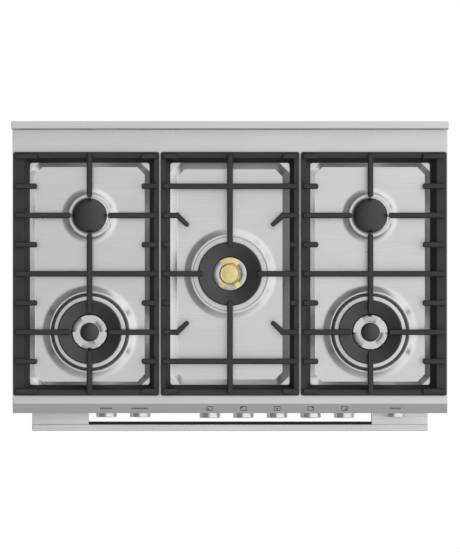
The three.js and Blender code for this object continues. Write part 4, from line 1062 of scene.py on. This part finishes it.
BURNER_KNOBS = ("front_left", "rear_left", "centre", "rear_right", "front_right")
OVEN_KNOBS = ("function", "temperature", "warmer")
BORE = 4.3                   # a knob's hole for its spindle, millimetres
BORE_DEPTH = 18.3


def knobs():
    """Chrome knobs with a rounded front edge, a shallow dished face and a raised pointer."""
    for names in (BURNER_KNOBS, OVEN_KNOBS):
        low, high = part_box("knob_" + names[0])
        length = (high.y - low.y) / MM
        radius = (high.x - low.x) / 2 / MM
        body = turned("knob_body", rounded([
            (BORE, 0), (radius - 0.4, 0), (radius, 0.8), (radius, length - 1.2), (radius - 1.6, length),
            (radius - 4, length - 0.7), (0.001, length - 1.3)], 1.0, 3)
            + [(0.001, BORE_DEPTH), (BORE, BORE_DEPTH), (BORE, 0)], steps=PLAIN)
        pointer = block("knob_pointer", (-0.9 * MM, 5 * MM, (length - 1.6) * MM),
                        (0.9 * MM, (radius - 2.2) * MM, (length - 0.2) * MM))
        soften(pointer, 0.3 * MM)
        pointer.data.materials.append(INK)
        for name in names:
            spot = middle("knob_" + name)
            copy = copied(body, f"{name}_knob")
            mark = copied(pointer, f"{name}_pointer")
            for part in (copy, mark):
                part.rotation_euler.x = math.radians(90)
                part.location = (spot.x, high.y, spot.z)
                settle(part, part.name)
            node = "knob_" + name
            fit(smooth(copy, 40), CHROME, "chrome_plate", BODY_OF[node], node)
            fit(mark, INK, "black_nylon", BODY_OF[node])
        bpy.data.objects.remove(body)
        bpy.data.objects.remove(pointer)


knobs()

BAND_PLACE = Vector((0, LIP_Y + CHAMFER_RUN / 2, DECK - CHAMFER_DROP / 2))
BAND_SLOPE = math.atan2(CHAMFER_DROP, CHAMFER_RUN)
INK_LAYER = 0.12 * MM


def laid_on_band(piece, x, name):
    """Moves a mark that was drawn flat about the origin on to the sloping band."""
    modify(piece, "SOLIDIFY", thickness=2 * INK_LAYER, offset=0)
    piece.rotation_euler.x = BAND_SLOPE
    piece.location = (x, BAND_PLACE.y, BAND_PLACE.z)
    settle(piece, name)
    return fit(piece, INK, "black_nylon", "root")


def burner_icon(name, x, dot_x, dot_y):
    """Rounded outline of the hob with a dot at the place of the burner."""
    half_w, half_h = 6.85 * MM, 5.15 * MM
    frame_line = sheet(name, (-half_w, -half_h), (half_w, half_h), 0)
    with editing(frame_line):
        pick_all()
        bpy.ops.mesh.bevel(offset=2.6 * MM, affect="VERTICES", segments=3)
        pick("FACE", lambda place, normal: True)
        bpy.ops.mesh.inset(thickness=1.2 * MM)
        bpy.ops.mesh.delete(type="FACE")
    bpy.ops.mesh.primitive_circle_add(vertices=16, radius=1.8 * MM, fill_type="NGON",
                                      location=(dot_x * 3.1 * MM, dot_y * 1.9 * MM, 0))
    dot = settle(bpy.context.object, "dot")
    laid_on_band(joined(name, [frame_line, dot]), x, name)


def scale_marks(name, x, length):
    """Row of upright strokes, as on a dial's scale, in place of a word."""
    pitch = 3.1 * MM
    count = round(length / pitch)
    strokes = []
    for index in range(count):
        middle_x = (index - (count - 1) / 2) * pitch
        half_h = (2.0 if index % 2 == 0 else 1.7) * MM
        strokes.append(sheet("stroke", (middle_x - 0.9 * MM, -half_h), (middle_x + 0.9 * MM, half_h), 0))
    laid_on_band(joined(name, strokes), x, name)


DOT_SPOTS = ((-1, -1), (-1, 1), (0, 0), (1, 1), (1, -1))
for burner, (across, up) in zip(BURNER_KNOBS, DOT_SPOTS):
    burner_icon(f"{burner}_icon", middle("knob_" + burner).x, across, up)
for control, mark_length in zip(OVEN_KNOBS, (25 * MM, 33.7 * MM, 22 * MM)):
    scale_marks(f"{control}_scale", middle("knob_" + control).x, mark_length)


DIGIT_SIZE = 15 * MM


def display():
    """Clock behind dark glass, its digits drawn with slim bars."""
    glass = softened_copy("display_window", "display_glass", 0.4 * MM)
    fit(glass, GLASS, "dark_glass", "root", "display_window")
    low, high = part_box("display_window")
    centre = (low + high) / 2
    bpy.ops.object.text_add()
    text = bpy.context.object
    text.data.body = "12:00"
    text.data.size = DIGIT_SIZE
    text.data.align_x = "CENTER"
    text.data.align_y = "CENTER"
    bpy.ops.object.convert(target="MESH")
    digits = bpy.context.object
    modify(digits, "SOLIDIFY", thickness=0.2 * MM, offset=0)
    digits.rotation_euler.x = math.radians(90)
    digits.location = (centre.x, low.y, centre.z)
    settle(digits, "clock_digits")
    fit(digits, DIGITS, "dark_glass", "root")


display()

# ---- door handle ----

HANDLE_LOW, HANDLE_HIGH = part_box("door_handle")
HANDLE_REACH = HANDLE_HIGH.x - 4 * MM    # the bar's half length, a little under the solid's
BAR_DEPTH = 13.8 * MM
MOUNT_WIDTH = 118 * MM


def handle():
    """Brushed bar with eased edges on two blocks, and between them behind the bar a black strip, painted
    shade where the bar's rear face lies in shadow.
    """
    bar_rear = HANDLE_LOW.y + BAR_DEPTH
    bar = block("handle_bar", (-HANDLE_REACH, HANDLE_LOW.y, HANDLE_LOW.z),
                (HANDLE_REACH, bar_rear, HANDLE_HIGH.z))
    with editing(bar):
        round_edges(lambda place, line: abs(line.z) > 0.9 and place.y < HANDLE_LOW.y + HAIR, 2.5 * MM, 5)
    shells = [bar]
    for side in (-1, 1):
        ends = sorted((side * HANDLE_REACH, side * (HANDLE_REACH - MOUNT_WIDTH)))
        shells.append(block("mount", (ends[0] + HAIR, bar_rear - MM, HANDLE_LOW.z + 3 * MM),
                            (ends[1] - HAIR, HANDLE_HIGH.y, HANDLE_HIGH.z - 0.4 * MM)))
    for shell in shells:
        soften(shell, 1.4 * MM, 3)
    bar = joined("handle_bar", shells)
    fit(bar, STREAKED_STEEL, "brushed_stainless", "oven_door", "door_handle")
    # Black strip behind the bar: painted shade for the bar's shaded rear face.
    reach = HANDLE_REACH - MOUNT_WIDTH + 6 * MM
    strip = block("handle_painted_shade_strip", (-reach, bar_rear - HAIR, HANDLE_LOW.z + 3 * MM),
                  (reach, bar_rear + 5.2 * MM, HANDLE_HIGH.z - 2 * MM))
    soften(strip, 1.2 * MM)
    fit(strip, NYLON, "black_nylon", "oven_door")


handle()

# ---- pieces that keep their modelled shape, with eased edges ----

CORNERS = ("front_left", "front_right", "rear_left", "rear_right")
EASED = (
    (STREAKED_STEEL, "brushed_stainless", 0.6, ["control_panel"]),
    (STREAKED_STEEL, "brushed_stainless", 0.7, ["door_frame", "drawer_front"]),
    (GLASS, "dark_glass", 0.5, ["door_glass_outer"]),
    (WINDOW, "dark_glass", 0.5, ["door_glass_inner"]),
    (ZINC, "galvanised_steel", 0.5, ["door_hinge_left", "door_hinge_right"]),
    (PAINT, "painted_steel", 0.3, ["side_panel_left", "side_panel_right"]),
    (ZINC, "galvanised_steel", 0.4, ["back_panel", "drawer_runner_left", "drawer_runner_right"]),
    (PAINT, "painted_steel", 0.4, ["base_pan"]),
    (OVEN, "oven_enamel", 0.4, ["oven_liner", "drawer_tray"]),
    (NYLON, "galvanised_steel", 0.3, ["grill_element"]),
    (WIRE, "chrome_wire", 0.8, ["oven_rack_lower", "oven_rack_upper"]),
    (RUBBER, "seal_rubber", 1.0, ["door_seal"]),
    (ZINC, "galvanised_steel", 0.3, ["convection_fan", "gas_manifold", "switch_rail"]
     + ["spindle_" + burner for burner in BURNER_KNOBS]),
    (NYLON, "black_nylon", 0.8, ["foot_" + corner for corner in CORNERS]),
)
for finish, slot_name, radius, nodes in EASED:
    for node in nodes:
        eased = softened_copy(node, node + "_eased", radius * MM)
        fit(eased, finish, slot_name, BODY_OF[node], node)
